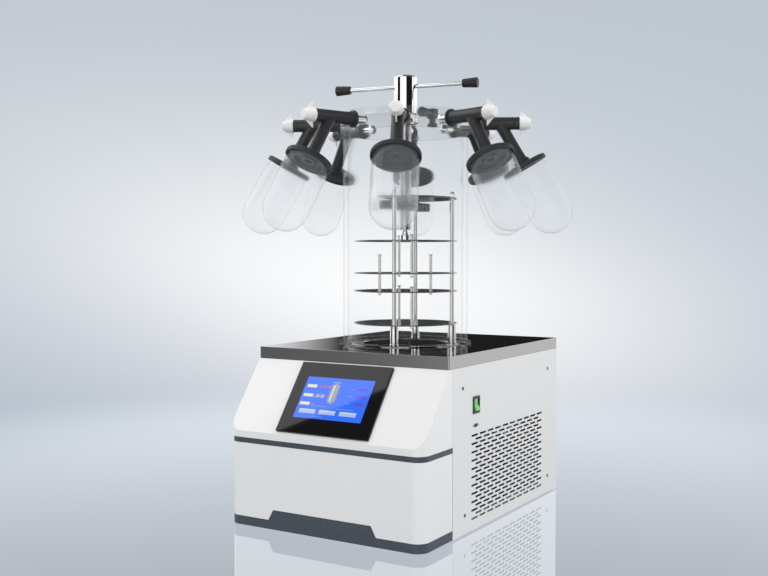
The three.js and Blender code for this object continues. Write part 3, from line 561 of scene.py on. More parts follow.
def softenedOver(mesh, axis, level, width, segments=2):  # only the edges that lie beyond a level
    softened(mesh, width, segments, 60, lambda e: all(v.co[axis] > level for v in e.verts))


def slab(low, high, edge=0.0, segments=2):
    low, high = Vector(low), Vector(high)
    mesh = bmesh.new()
    bmesh.ops.create_cube(mesh, size=1)
    bmesh.ops.scale(mesh, vec=high - low, verts=mesh.verts)
    bmesh.ops.translate(mesh, vec=(low + high) / 2, verts=mesh.verts)
    return softened(mesh, edge, segments) if edge else mesh


def hexNut(radius, low, high, edge=0.5):
    mesh = bmesh.new()
    bmesh.ops.create_cone(mesh, cap_ends=True, segments=6, radius1=radius, radius2=radius, depth=high - low)
    bmesh.ops.translate(mesh, vec=(0, 0, (low + high) / 2), verts=mesh.verts)
    return softened(mesh, edge)


def gathered(parts):  # one mesh from several (shape, place) pairs
    whole = bmesh.new()
    for part, place in parts:
        part.transform(place)
        data = bpy.data.meshes.new("part")
        part.to_mesh(data)
        part.free()
        whole.from_mesh(data)
        bpy.data.meshes.remove(data)
    return whole


def moved(shape, place):
    shape.transform(place)
    return shape


def standIn(mesh, name):
    bmesh.ops.recalc_face_normals(mesh, faces=mesh.faces)
    data = bpy.data.meshes.new(name)
    mesh.to_mesh(data)
    mesh.free()
    made = bpy.data.objects.new(name, data)
    scene.collection.objects.link(made)
    return made


def cutAway(mesh, *tools):
    base = standIn(mesh, "blank")
    cutters = [standIn(tool, "cutter") for tool in tools]
    for cutter in cutters:
        base.modifiers.new("cut", "BOOLEAN").object = cutter
    bpy.context.view_layer.update()
    shaped = bpy.data.meshes.new_from_object(base.evaluated_get(bpy.context.evaluated_depsgraph_get()))
    fresh = bmesh.new()
    fresh.from_mesh(shaped)
    for spare in [base, *cutters]:
        data = spare.data
        bpy.data.objects.remove(spare)
        bpy.data.meshes.remove(data)
    bpy.data.meshes.remove(shaped)
    return fresh


def piece(mesh, name, look, body="root", stands=(), sharpAt=34, even=True):
    bmesh.ops.remove_doubles(mesh, verts=mesh.verts, dist=0.0005)
    bmesh.ops.recalc_face_normals(mesh, faces=mesh.faces)
    bend = math.radians(sharpAt)
    for edge in mesh.edges:
        edge.smooth = edge.is_manifold and edge.calc_face_angle(0) < bend
    for face in mesh.faces:
        face.smooth = True
    bmesh.ops.scale(mesh, vec=(mm, mm, mm), verts=mesh.verts)
    data = bpy.data.meshes.new(name)
    mesh.to_mesh(data)
    mesh.free()
    made = bpy.data.objects.new(name, data)
    scene.collection.objects.link(made)
    for material in look if isinstance(look, list) else [look]:
        data.materials.append(finish[material])
    if even:
        made.modifiers.new("evenNormals", "WEIGHTED_NORMAL").keep_sharp = True
    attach(made, body)
    if stands:
        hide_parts(*stands)
    return made


def refinish(node, material):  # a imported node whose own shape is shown
    data = nodes[node].data
    data.materials.clear()
    data.materials.append(finish[material])


# Front mouldings
housing = {"half": highOf("side_panel_right").x, "front": 312.0, "seam": 200.3, "corner": 24.0, "wall": 3.0,
           "edge": 0.7}
slope = {"angle": 53.1, "blend": 5.0, "edge": 0.3}
slopePlace = Matrix.Translation((0, lowOf("top_pan").y, lowOf("top_pan").z)) @ turnAbout("X", slope["angle"])
slopeOut = (slopePlace.to_3x3() @ Vector((0, 0, 1))).normalized()


def frontBlock(low, high):  # straight at the seam, rounded at the two front corners
    mesh = slab((-housing["half"], -housing["front"], low), (housing["half"], -housing["seam"], high))
    corners = [e for e in edgesAlong(mesh, 2) if e.verts[0].co.y < -housing["seam"] - 1]
    return rounded(mesh, corners, housing["corner"], 12)


def openUp(mesh, *ways):  # takes off the faces that look along any of these directions
    gone = [f for f in mesh.faces if any(f.normal.dot(Vector(way)) > 0.99 for way in ways)]
    bmesh.ops.delete(mesh, geom=gone, context="FACES")


def slicedBy(mesh, point, normal, faces=None):
    geom = faces if faces is not None else mesh.faces[:]
    edges = list({e for f in geom for e in f.edges})
    verts = list({v for f in geom for v in f.verts})
    return bmesh.ops.bisect_plane(mesh, geom=verts + edges + list(geom), dist=0.0001, plane_co=point,
                                  plane_no=normal)


def moulded(mesh, name, look, node, blend=None):
    weight = mesh.edges.layers.float.get("bevel_weight_edge")
    made = piece(mesh, name, look, stands=[node], sharpAt=40, even=False)
    if weight is not None:
        first = made.modifiers.new("blend", "BEVEL")
        first.width, first.segments, first.limit_method = blend * mm, 5, "WEIGHT"
    wall = made.modifiers.new("wall", "SOLIDIFY")
    wall.thickness, wall.offset = housing["wall"] * mm, -1
    rim = made.modifiers.new("rim", "BEVEL")
    rim.width, rim.segments = housing["edge"] * mm, 3
    rim.limit_method, rim.angle_limit = "ANGLE", math.radians(50)
    made.modifiers.new("evenNormals", "WEIGHTED_NORMAL").keep_sharp = False
    return made


def frontFaces(mesh):
    return [f for f in mesh.faces if f.normal.y < -0.99]


def makeShroud():
    low, high = lowOf("upper_front_shroud").z, highOf("upper_front_shroud").z
    mesh = frontBlock(low, high)
    base = slopePlace.translation
    everything = mesh.verts[:] + mesh.edges[:] + mesh.faces[:]
    bmesh.ops.bisect_plane(mesh, geom=everything, dist=0.0001, plane_co=base, plane_no=slopeOut,
                           clear_outer=True)
    bmesh.ops.holes_fill(mesh, edges=[e for e in mesh.edges if e.is_boundary], sides=0)
    bmesh.ops.recalc_face_normals(mesh, faces=mesh.faces)
    weight = mesh.edges.layers.float.new("bevel_weight_edge")
    face = max(mesh.faces, key=lambda f: f.normal.dot(slopeOut) * f.calc_area())
    for edge in face.edges:
        flat = abs(edge.verts[0].co.z - edge.verts[1].co.z) < 0.01
        bottom = flat and edge.verts[0].co.z < (low + high) / 2
        edge[weight] = 1.0 if bottom else slope["edge"]
    window = screen["plate"]["width"] / 2 - 8, screen["plate"]["height"] / 2 - 8
    middle = slopePlace @ Vector((0, screen["middle"], 0))
    along = (slopePlace.to_3x3() @ Vector((0, 1, 0))).normalized()
    for side in (-1, 1):
        for across, reach in ((Vector((1, 0, 0)), window[0]), (along, window[1])):
            flats = [f for f in mesh.faces if f.normal.dot(slopeOut) > 0.999]
            slicedBy(mesh, middle + across * reach * side, across * side, flats)
    inner = [f for f in mesh.faces if f.normal.dot(slopeOut) > 0.999
             and abs(f.calc_center_median().x) < window[0]
             and abs((f.calc_center_median() - middle).dot(along)) < window[1]]
    bmesh.ops.delete(mesh, geom=inner, context="FACES")
    openUp(mesh, (0, 1, 0), (0, 0, -1))
    moulded(mesh, "shroud", "frontGloss", "upper_front_shroud", slope["blend"])


def makeBand(name, node, look):
    mesh = frontBlock(lowOf(node).z, highOf(node).z)
    openUp(mesh, (0, 1, 0), (0, 0, -1), (0, 0, 1))
    moulded(mesh, name, look, node)


arch = {"top": 109.0, "foot": 129.5, "floor": 3.0, "height": 40.0, "step": 20.0, "gap": 0.3}


def archSides(mesh, extra):  # slices the front wall along the raised middle's two leaning sides
    rise = arch["height"] + extra - arch["floor"]
    for side in (-1, 1):
        slicedBy(mesh, ((arch["foot"] + extra) * side, 0, arch["floor"]),
                 (rise * side, 0, arch["foot"] - arch["top"]), frontFaces(mesh))


def inArch(face, extra):
    middle = face.calc_center_median()
    share = (middle.z - arch["floor"]) / (arch["height"] + extra - arch["floor"])
    reach = arch["foot"] + extra + (arch["top"] - arch["foot"]) * share
    return middle.y < -housing["front"] + 1 and abs(middle.x) < reach and middle.z < arch["height"] + extra


def makeLowerFront():
    mesh = frontBlock(lowOf("lower_front_panel").z, highOf("lower_front_panel").z)
    openUp(mesh, (0, 1, 0), (0, 0, -1), (0, 0, 1))
    extra = arch["gap"]
    slicedBy(mesh, (0, 0, arch["height"] + extra), (0, 0, 1), frontFaces(mesh))
    archSides(mesh, extra)
    bmesh.ops.delete(mesh, geom=[f for f in mesh.faces if inArch(f, extra)], context="FACES")
    moulded(mesh, "lower_front", "frontGloss", "lower_front_panel")


def makeFootTrim():
    mesh = frontBlock(arch["floor"], arch["height"])
    openUp(mesh, (0, 1, 0), (0, 0, -1), (0, 0, 1))
    slicedBy(mesh, (0, 0, arch["step"]), (0, 0, 1))
    archSides(mesh, 0)
    spare = [f for f in mesh.faces if f.calc_center_median().z > arch["step"] and not inArch(f, 0)]
    bmesh.ops.delete(mesh, geom=spare, context="FACES")
    moulded(mesh, "foot_band", "trimSlate", "foot_trim")


# Touch panel: one black glass plate, with plain fields of colour shown through it
screen = {
    "plate": {"width": 206.0, "height": 153.0, "low": 0.3, "proud": 5.0, "corner": 2.5, "edge": 0.9},
    "box": {"width": 194.0, "height": 141.0, "depth": 18.0},
    "middle": -81.2,
    "shown": (151.4, 89.0),
    "lit": {"ground": (0.035, 0.17, 1.0), "label": (0.80, 0.78, 0.60), "mark": (0.55, 0.16, 0.20),
            "stone": (0.42, 0.44, 0.52), "field": (0.12, 0.08, 0.75), "button": (0.42, 0.56, 0.86),
            "buttonTop": (0.62, 0.72, 0.92), "vessel": (0.36, 0.38, 0.40), "vesselLight": (0.72, 0.73, 0.74),
            "line": (0.22, 0.36, 0.85)},
}


def litFinish(name, color):  # a lit field under the glass keeps the glass's own shine
    made, tree, shader = freshFinish(name)
    place = nodeOf(tree, "TexCoord").outputs["Object"]
    grid = nodeOf(tree, "TexNoise", {"Vector": place, "Scale": 1400.0, "Detail": 1.0}).outputs["Fac"]
    glow = scaled(tree, color, ranged(tree, grid, 0.0, 1.0, 0.96, 1.04))
    tree.links.new(glow, shader.inputs["Emission Color"])
    setInputs(shader, {"Emission Strength": 0.92, "Base Color": (0.004, 0.004, 0.005, 1), "Roughness": 0.035,
                       "IOR": 1.52})
    return made


def makeTouchPanel():
    plate, box = screen["plate"], screen["box"]
    width, height = plate["width"] / 2, plate["height"] / 2
    mesh = slab((-width, -height, plate["low"]), (width, height, plate["proud"]))
    rounded(mesh, edgesAlong(mesh, 2), plate["corner"])
    softenedOver(mesh, 2, plate["proud"] - 0.01, plate["edge"], 3)
    back = slab((-box["width"] / 2, -box["height"] / 2, -box["depth"]),
                (box["width"] / 2, box["height"] / 2, 0.35), 1.0)
    middle = slopePlace @ Matrix.Translation((0, screen["middle"], 0))
    piece(gathered([(mesh, middle), (back, middle)]), "touch_glass", "panelGlass",
          stands=["hmi_panel"])

    for name, color in screen["lit"].items():
        finish["lit_" + name] = litFinish("lit_" + name, color)
    top = plate["proud"]
    wide, tall = screen["shown"]

    def fields(name, color, boxes, rise=0.06):
        parts = []
        for x, y, w, h in boxes:  # each from the shown area's middle
            parts.append((slab((x - w / 2, y - h / 2, top - 0.3), (x + w / 2, y + h / 2, top + rise)),
                          middle))
        piece(gathered(parts), "screen_" + name, "lit_" + color, even=False)

    fields("ground", "ground", [(0, 0, wide, tall)], 0.03)
    fields("labels", "label", [(-59, 24.5, 22, 6.6), (-60, 4.5, 22, 6.6), (-61, -13.5, 22, 6.6)])
    fields("marks", "mark", [(-38, 24.5, 5.2, 5.2), (-28.5, 24.5, 5.2, 5.2), (-19, 24.5, 5.2, 5.2),
                             (-42.5, -14.5, 5, 5)])
    fields("stones", "stone", [(-38.5, 4.2, 8.5, 7.2), (-27.5, 4.2, 8.5, 7.2), (-45.5, 1.6, 2.4, 2.4)])
    fields("fields", "field", [(57, 23.5, 20, 6.2), (57.5, 8.5, 20, 6.2), (58, -7.0, 20, 6.2)])
    fields("lines", "line", [(34, 23.5, 7, 1.3), (33, 8.5, 7, 1.3), (32, -7, 7, 1.3), (-25, -17.5, 29, 1.1),
                             (32, -20.5, 38, 1.3), (-22, -39.5, 24, 1.3)])
    fields("buttons", "button", [(-49, -29.5, 37, 9), (-4, -29.5, 37, 9), (42, -29.5, 37, 9)])
    fields("button_tops", "buttonTop", [(-49, -26.6, 36, 2.2), (-4, -26.6, 36, 2.2), (42, -26.6, 36, 2.2)],
           0.09)
    fields("vessel", "vessel", [(-5.5, 31.5, 6, 2.6), (-5.5, 12, 17, 37), (-5.5, 14.5, 20.5, 2.0),
                                (-5.5, 2.5, 20.5, 2.0),
                                (-5.5, -8.5, 9, 4)])
    fields("vessel_light", "vesselLight", [(-8.2, 12, 3.4, 34.5), (-5.5, 35.0, 16, 0.9)], 0.09)


makeShroud()
makeBand("stripe", "stripe_band", "trimSlate")
makeLowerFront()
makeFootTrim()
makeTouchPanel()
print("front ready")


# Sheet metal housing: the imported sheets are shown, with their own paint
for sheet in ("side_panel_right", "side_panel_left"):
    refinish(sheet, "sidePowderPaintedShade")
refinish("rear_panel", "panelPowder")
refinish("base_pan", "trayPaint")

panRim = {"corner": 2.2, "edge": 0.8, "wall": 1.5, "hole": 89.8}


def makePan():
    low, high = lowOf("top_pan"), highOf("top_pan")
    outer = slab(low, high)
    rounded(outer, edgesAlong(outer, 2), panRim["corner"])
    softenedOver(outer, 2, high.z - 0.01, panRim["edge"], 3)
    wall = Vector((panRim["wall"],) * 3)
    inner = slab((low + wall).xy.to_3d() + Vector((0, 0, low.z - 5)),
                 (high - wall).xy.to_3d() + Vector((0, 0, high.z - 1.5)))
    mesh = cutAway(outer, inner, rod(panRim["hole"], low.z - 5, high.z + 5, 128))
    for face in mesh.faces:
        face.material_index = 1 if face.normal.z > 0.9 else 0
    piece(mesh, "pan", ["brushedSkirt", "panTop"], stands=["top_pan"])


screwHead = {"radius": 3.6, "rise": 1.7, "slot": 3.6, "cut": 0.75, "sunk": 0.35}
sideScrews = [(-160, 277), (250, 276), (251, 39), (-151, 38)]
rearScrews = [(-196, 290), (0, 308), (196, 290), (-196, 32), (196, 32)]


def crossHead():  # domed, with a cross cut in it, standing on z = 0
    dome = turned([(0, -1.2), (screwHead["radius"], -1.2), (screwHead["radius"], screwHead["rise"]),
                   (0, screwHead["rise"])],
                  20, rounds=[(2, 1.5, 3)])
    reach, cut = screwHead["slot"] / 2, screwHead["cut"] / 2
    arms = [slab((-reach, -cut, 0.3), (reach, cut, 4)), slab((-cut, -reach, 0.3), (cut, reach, 4))]
    return cutAway(dome, *arms)


def makeScrews():
    head = crossHead()
    half = highOf("side_panel_right").x
    parts = []
    for side in (-1, 1):
        for i, (y, z) in enumerate(sideScrews):
            place = Matrix.Translation(((half - screwHead["sunk"]) * side, y, z)) @ turnAbout("Y", 90 * side)
            parts.append((head.copy(), place @ turnAbout("Z", 17 + 31 * i)))
    back = highOf("rear_panel").y
    for i, (x, z) in enumerate(rearScrews):
        place = Matrix.Translation((x, back - screwHead["sunk"], z)) @ turnAbout("X", -90)
        parts.append((head.copy(), place @ turnAbout("Z", 11 + 40 * i)))
    head.free()
    piece(gathered(parts), "panel_screws", "screwSteel", sharpAt=30)


makePan()
makeScrews()
print("housing ready")


# Power switch, with the small socket under it
switch = {"round": 1.6, "edge": 0.7, "rim": 4.0, "proud": 2.0, "depth": 22.0, "pocket": 13.0}
socket = {"y": -105.6, "z": 201.3, "long": 13.9, "tall": 6.6, "round": 1.4, "screws": (-117.0, -94.5)}


def makeSwitch():
    low, high = lowOf("switch_frame"), highOf("switch_frame")
    face = high.x
    plate = slab((face - switch["proud"], low.y, low.z), high)
    rounded(plate, edgesAlong(plate, 0), switch["round"], 4)
    softenedOver(plate, 0, face - 0.01, switch["edge"])
    rim = switch["rim"]
    barrel = slab((face - switch["depth"], low.y + rim - 1, low.z + rim - 1),
                  (face - 1.2, high.y - rim + 1, high.z - rim + 1))
    parts = []
    for solid, edge in ((plate, 0.5), (barrel, 0.0)):
        room = slab((face - switch["pocket"], low.y + rim, low.z + rim),
                    (face + 3, high.y - rim, high.z - rim), edge)
        parts.append((cutAway(solid, room), Matrix()))
    piece(gathered(parts), "switch_bezel", "switchBlack", stands=["switch_frame"], sharpAt=30)


rocker = {"tilt": 8.0, "lip": 3.2, "thick": 4.5, "halfTall": 11.3, "halfWide": 9.3, "edge": 0.9, "mark": 3.1}


def makeRocker():
    joint = next(j for j in frame["joints"] if j["name"] == "switch_rock")
    pivot = Vector(joint["pos_m"]) / mm
    tall, wide, thick = rocker["halfTall"], rocker["halfWide"], rocker["thick"]
    rise = tall * math.tan(math.radians(rocker["tilt"]))
    mesh = slab((-2 * thick, -wide, -tall), (rise, wide, tall))
    bmesh.ops.bisect_plane(mesh, geom=mesh.verts[:] + mesh.edges[:] + mesh.faces[:], dist=0.001,
                           plane_co=(0, 0, 0),
                           plane_no=(0, 0, 1))
    for vert in mesh.verts:
        if abs(vert.co.z) < 0.01 and vert.co.x > 0:
            vert.co.x = 0.0
        elif vert.co.x < 0 and abs(vert.co.z) > 0.01:
            vert.co.x = rise - thick
        elif vert.co.z < 0:
            vert.co.x = rise + rocker["lip"]
    bmesh.ops.recalc_face_normals(mesh, faces=mesh.faces)
    softened(mesh, rocker["edge"], 3, 50)
    place = Matrix.Translation(pivot) @ turnAbout("Y", -rocker["tilt"])
    piece(moved(mesh, place), "rocker", "rockerGreen", "switch_body", ["switch_rocker"],
          sharpAt=60)
    upper = math.radians(rocker["tilt"])
    bar = slab((-0.2, -0.55, -rocker["mark"]), (0.12, 0.55, rocker["mark"]))
    ring = ringOf(rocker["mark"] - 0.95, rocker["mark"], -0.2, 0.12, 32)
    marks = [(bar, place @ Matrix.Translation((math.tan(upper) * 6.2, 0, 6.2)) @ turnAbout("Y",
                                                                                           rocker["tilt"])),
             (ring, place @ Matrix.Translation((math.tan(upper) * 5.8, 0, -5.8)) @ turnAbout("Y",
                                                                                             -rocker["tilt"])
              @ alongX)]
    piece(gathered(marks), "rocker_marks", "markPaint", "switch_body", even=False)


def makeSocket():
    face = highOf("side_panel_right").x
    long, tall = socket["long"] / 2, socket["tall"] / 2
    y, z = socket["y"], socket["z"]
    shell = slab((face - 1, y - long, z - tall), (face + 0.6, y + long, z + tall))
    rounded(shell, edgesAlong(shell, 0), socket["round"], 3)
    softenedOver(shell, 0, face + 0.55, 0.2)
    hollow = slab((face + 0.1, y - long + 1.2, z - tall + 1.2), (face + 3, y + long - 1.2, z + tall - 1.2))
    tongue = slab((face, y - long + 2.6, z - 0.6), (face + 0.35, y + long - 2.6, z + 0.6))
    piece(gathered([(cutAway(shell, hollow), Matrix()), (tongue, Matrix())]), "data_socket", "switchBlack",
          sharpAt=30)
    heads = []
    for place in socket["screws"]:
        head = turned([(0, -0.6), (1.5, -0.6), (1.5, 0.8), (0, 0.8)], 14, rounds=[(2, 0.6, 2)])
        heads.append((head, Matrix.Translation((face, place, z)) @ turnAbout("Y", 90)))
    piece(gathered(heads), "socket_screws", "screwSteel", sharpAt=30)


makeSwitch()
makeRocker()
makeSocket()
print("switch ready")


# Cooling and vacuum
refinish("evaporator_coil", "copperTube")
refinish("compressor", "canBlack")
# the condenser's near-black tone is painted shade behind the side slots
refinish("condenser", "finPaintedShade")
refinish("condenser_fan", "fanPlastic")

trap = {"radius": 88.0, "wall": 1.5, "flange": 112.0, "corner": 6.0, "lip": 1.2}
pump = {"outer": 11.0, "bore": 8.0, "flange": 20.0, "thick": 4.0}


def makeTrap():
    low, top = lowOf("cold_trap_well").z, highOf("cold_trap_well").z
    inner, outer, under = trap["radius"], trap["radius"] + trap["wall"], top - trap["wall"]
    points = [(0, low), (outer, low), (outer, under), (trap["flange"], under), (trap["flange"], top),
              (inner, top),
              (inner, low + trap["wall"]), (0, low + trap["wall"])]
    rounds = [(1, trap["corner"] + trap["wall"], 5), (6, trap["corner"], 5), (5, trap["lip"], 3), (4, 0.5, 2)]
    well = turned(points, 128, rounds=rounds)
    level = (lowOf("vacuum_port").z + highOf("vacuum_port").z) / 2
    outlet = moved(rod(pump["bore"], 0, 120, 32), Matrix.Translation((0, 0, level)) @ turnAbout("X", -90))
    piece(cutAway(well, outlet), "trap_well", "trapSteel", stands=["cold_trap_well"],
          sharpAt=40)


def makePump():
    low, high = lowOf("vacuum_port"), highOf("vacuum_port")
    level = (low.z + high.z) / 2
    start, end = trap["radius"] + trap["wall"] + 0.4, high.y
    bore, outer, flange, thick = pump["bore"], pump["outer"], pump["flange"], pump["thick"]
    points = [(bore, start), (outer, start), (outer, end - thick), (flange, end - thick), (flange, end),
              (bore, end)]
    pipe = turned(points, 48, True, [(3, 0.6, 2), (4, 0.6, 2), (2, 1.2, 3), (5, 0.5, 2)])
    groove = ringOf(bore + 1.8, bore + 3.4, end - 1.0, end + 1, 48)
    place = Matrix.Translation((0, 0, level)) @ turnAbout("X", -90)
    collar = ringOf(outer + 0.05, outer + 5, highOf("rear_panel").y + 0.1, highOf("rear_panel").y + 2.2, 48,
                    0.6)
    piece(moved(cutAway(pipe, groove), place), "pump_port", "pressChrome",
          stands=["vacuum_port"])
    piece(moved(collar, place), "pump_grommet", "rubberSeal")


inlet = {"x": -158.0, "z": 96.0, "wide": 28.0, "tall": 24.0, "flange": 50.0, "proud": 2.6, "deep": 18.0}
port = {"x": -158.0, "z": 140.0, "wide": 31.0, "tall": 12.6}


louvre = {"rows": 9, "pitch": 14.0, "apart": 150.0, "low": 60.0, "long": 112.0, "high": 4.3, "deep": 4.6,
          "drop": 3.6,
          "wall": 0.7}


def hoodShape():  # pressed outwards, open at its lower edge, with closed ends
    half, wall = louvre["long"] / 2, louvre["wall"]
    high, deep, drop = louvre["high"], louvre["deep"], louvre["drop"]
    sheet = [(0, high), (deep, wall - drop), (deep, -drop), (deep - wall, -drop), (deep - wall, wall - drop),
             (0, high - 1.2)]
    cheek = [(0, high - 0.2), (deep - 0.1, wall - drop), (deep - 0.1, -drop), (0, -drop)]
    parts = []
    for outline, start, end in ((sheet, -half, half), (cheek, -half, wall - half),
                                (cheek, half - wall, half)):
        shape = bmesh.new()
        front = shape.faces.new([shape.verts.new((start, y, z)) for y, z in outline])
        grown = bmesh.ops.extrude_face_region(shape, geom=[front])
        far = [v for v in grown["geom"] if isinstance(v, bmesh.types.BMVert)]
        bmesh.ops.translate(shape, vec=(end - start, 0, 0), verts=far)
        parts.append((shape, Matrix()))
    return gathered(parts)


def makeRear():
    face = highOf("rear_panel").y
    wide, tall = inlet["flange"] / 2, inlet["tall"] / 2 + 2.5
    x, z = inlet["x"], inlet["z"]
    plate = slab((x - wide, face + 0.05, z - tall), (x + wide, face + inlet["proud"], z + tall))
    rounded(plate, edgesAlong(plate, 1), 5.0)
    softenedOver(plate, 1, face + inlet["proud"] - 0.01, 0.5)
    half, rise = inlet["wide"] / 2, inlet["tall"] / 2
    mouth = slab((x - half, face - 2, z - rise), (x + half, face + 5, z + rise))
    rounded(mouth, [e for e in edgesAlong(mouth, 1) if e.verts[0].co.z > z], 5.5, 1)
    cup = slab((x - half - 1.5, face - inlet["deep"], z - tall + 1),
               (x + half + 1.5, face + 0.4, z + tall - 1))
    room = mouth.copy()
    bmesh.ops.translate(room, vec=(0, -inlet["deep"] + 4, 0), verts=room.verts)
    for vert in room.verts:
        if vert.co.y > face - 10:
            vert.co.y = face + 5
    bezel = gathered([(cutAway(plate, mouth), Matrix()), (cutAway(cup, room), Matrix())])
    piece(bezel, "power_inlet", "switchBlack", sharpAt=30)
    blades = [slab((x + dx - 1, face - inlet["deep"] + 2, z + dz - 2.6),
                   (x + dx + 1, face - 1.5, z + dz + 2.6), 0.4)
              for dx, dz in ((-7, -2.5), (0, 4.5), (7, -2.5))]
    piece(gathered([(blade, Matrix()) for blade in blades]), "inlet_pins", "screwSteel")

    wide, tall = port["wide"] / 2, port["tall"] / 2
    x, z = port["x"], port["z"]
    plate = slab((x - wide, face + 0.05, z - tall), (x + wide, face + 0.9, z + tall), 0.3)
    shell = slab((x - 8.6, face + 0.5, z - 4.2), (x + 8.6, face + 5.6, z + 4.2))
    rounded(shell, edgesAlong(shell, 1), 2.2, 4)
    hollow = slab((x - 7.9, face + 1.6, z - 3.5), (x + 7.9, face + 9, z + 3.5))
    rounded(hollow, edgesAlong(hollow, 1), 1.8, 4)
    posts = [(hexNut(2.9, 0, 5.2, 0.3), Matrix.Translation((x + dx, face + 0.5, z)) @ turnAbout("X",
                                                                                                -90))
             for dx in (-12.5, 12.5)]
    piece(gathered([(plate, Matrix()), (cutAway(shell, hollow), Matrix()), *posts]), "rear_port",
          "screwSteel")
    pins = [(rod(0.5, 0, 3.4, 10, 0.2), Matrix.Translation((x + i * 2.77 - (0 if row else 1.38), face + 1.4,
                                                            z + 1.4 * row - 0.7))
             @ turnAbout("X", -90)) for row in (0, 1) for i in range(-2, 3 if row else 4)]
    piece(gathered(pins), "rear_port_pins", "brass")

    hoods = []
    for row in range(louvre["rows"]):
        for side in (-1, 1):
            x, z = side * louvre["apart"] / 2, louvre["low"] + row * louvre["pitch"]
            hoods.append((hoodShape(), Matrix.Translation((x, face + 0.05, z))))
    piece(gathered(hoods), "rear_louvres", "panelPowder", sharpAt=30)


makeTrap()
makePump()
makeRear()
print("cooling and rear ready")


# Drying chamber
vent = {"stem": 7.0, "nut": 11.0, "nutThick": 7.0, "half": 9.0, "knobLarge": 10.5, "knobSmall": 8.2,
        "knobLength": 31.0, "shank": 4.0, "shankLength": 8.0}
ventJoint = next(joint for joint in frame["joints"] if joint["name"] == "vent_turn")
ventPivot, ventWay = Vector(ventJoint["pos_m"]) / mm, Vector(ventJoint["axis"])

chamber = {"steps": 160, "edge": 0.8, "headInner": 117.0, "lidEdge": 1.2, "neckHole": 9.25, "glandHole": 19.3,
           "ventHole": 7.3}


def makeChamber():
    low, high = lowOf("base_seal"), highOf("base_seal")
    outer, inner = high.x, high.x - 14
    points = [(inner, low.z), (outer, low.z), (outer, high.z), (inner, high.z)]
    seal = turned(points, chamber["steps"], True, [(2, 2.4, 5), (3, 1.2, 3), (1, 0.8, 2), (0, 0.5, 2)])
    groove = ringOf(outer - 0.9, outer + 2, low.z + 2.1, low.z + 2.9, chamber["steps"])
    piece(cutAway(seal, groove), "seal_ring", "sealSilicone", stands=["base_seal"],
          sharpAt=40)

    low, high = lowOf("chamber_cylinder"), highOf("chamber_cylinder")
    tube = ringOf(high.x - 10, high.x, low.z, high.z, chamber["steps"], chamber["edge"])
    piece(tube, "chamber_tube", "chamberAcrylic", stands=["chamber_cylinder"], sharpAt=50)


ports = {"count": 8, "first": 26.0, "level": 795.6, "branchAt": 195.0, "fall": 30.0}


def portPlace(i):
    turn = ports["first"] + i * 360 / ports["count"] - 90
    return turnAbout("Z", turn) @ Matrix.Translation((0, 0, ports["level"]))


legPlace = Matrix.Translation((ports["branchAt"], 0, 0)) @ turnAbout("Y", -ports["fall"])


def makeHead():
    low, high = lowOf("manifold_head"), highOf("manifold_head")
    outer, inner = high.x, chamber["headInner"]
    under = high.z - 10
    points = [(0, under), (inner, under), (inner, low.z), (outer, low.z), (outer, high.z), (0, high.z)]
    head = turned(points, chamber["steps"],
                  rounds=[(4, chamber["lidEdge"], 4), (3, 0.8, 3), (2, 0.6, 2), (1, 1.5, 3)])
    holes = [moved(rod(chamber["neckHole"], inner - 4, outer + 4, 24), portPlace(i) @ alongX)
             for i in range(ports["count"])]
    holes.append(rod(chamber["glandHole"], under - 5, high.z + 5, 48))
    ventHole = rod(chamber["ventHole"], under - 5, high.z + 5, 24)
    holes.append(moved(ventHole, Matrix.Translation((ventPivot.x, ventPivot.y, 0))))
    piece(cutAway(head, *holes), "head_ring", "headAcrylic", stands=["manifold_head"],
          sharpAt=50)


# Ports: a valve with its rubber bell, a knob and a flask at each
valve = {"flange": 17.5, "flangeAt": 136.3, "flangeThick": 5.0, "neck": 9.0, "neckFrom": 109.5, "nut": 10.5,
         "nutThick": 6.0, "tube": 13.0, "tubeEnd": 235.0, "leg": 12.0, "bore": 5.3, "boreDeep": 12.5}
bell = {"along": 94.7, "radius": 48.0, "wall": 3.0, "height": 12.0, "roof": 4.0, "collar": 17.0,
        "collarHeight": 7.0}
knob = {"start": 235.3, "radius": 14.5, "shoulder": 13.3, "length": 23.6, "neck": 9.0, "stem": 5.0,
        "stemDeep": 12.0,
        "fin": 52.0, "finThick": 3.0, "finLength": 20.0}
flask = {"top": 99.0, "neck": 43.0, "radius": 45.05, "wall": 1.0, "neckLength": 14.0, "shoulder": 4.0,
         "straight": 93.6}


def valveShapes():
    body, far = valve, valve["tubeEnd"]
    points = [(0, body["flangeAt"]), (body["flange"], body["flangeAt"]),
              (body["flange"], body["flangeAt"] + body["flangeThick"]),
              (body["tube"] + 0.9, body["flangeAt"] + body["flangeThick"] + 0.6), (body["tube"] + 0.2, 160),
              (body["tube"], far - 17), (body["tube"], far - 11), (body["tube"] - 0.7, far - 10.4),
              (body["tube"] - 0.7, far - 9.2), (body["tube"], far - 8.6), (body["tube"], far),
              (body["bore"], far), (body["bore"], far - body["boreDeep"]), (0, far - body["boreDeep"])]
    straight = turned(points, 48, rounds=[(1, 1.3, 3), (2, 1.3, 3), (10, 0.8, 2)])
    leg = turned([(0, -bell["along"] - 2), (body["leg"] + 1.6, -bell["along"] - 2),
                  (body["leg"] + 0.2, -bell["along"] + 22),
                  (body["leg"], -16), (body["leg"] + 0.6, -9), (body["leg"] + 0.6, 0), (0, 6)], 40)
    return gathered([(straight, alongX), (leg, legPlace)])


def nutShape():
    low, thick = valve["neckFrom"], valve["nutThick"]
    neck = rod(valve["neck"], low, valve["flangeAt"] + 1, 40, 0.4)
    return gathered([(neck, alongX), (hexNut(valve["nut"], low + 4 - thick, low + 4, 0.7), alongX)])


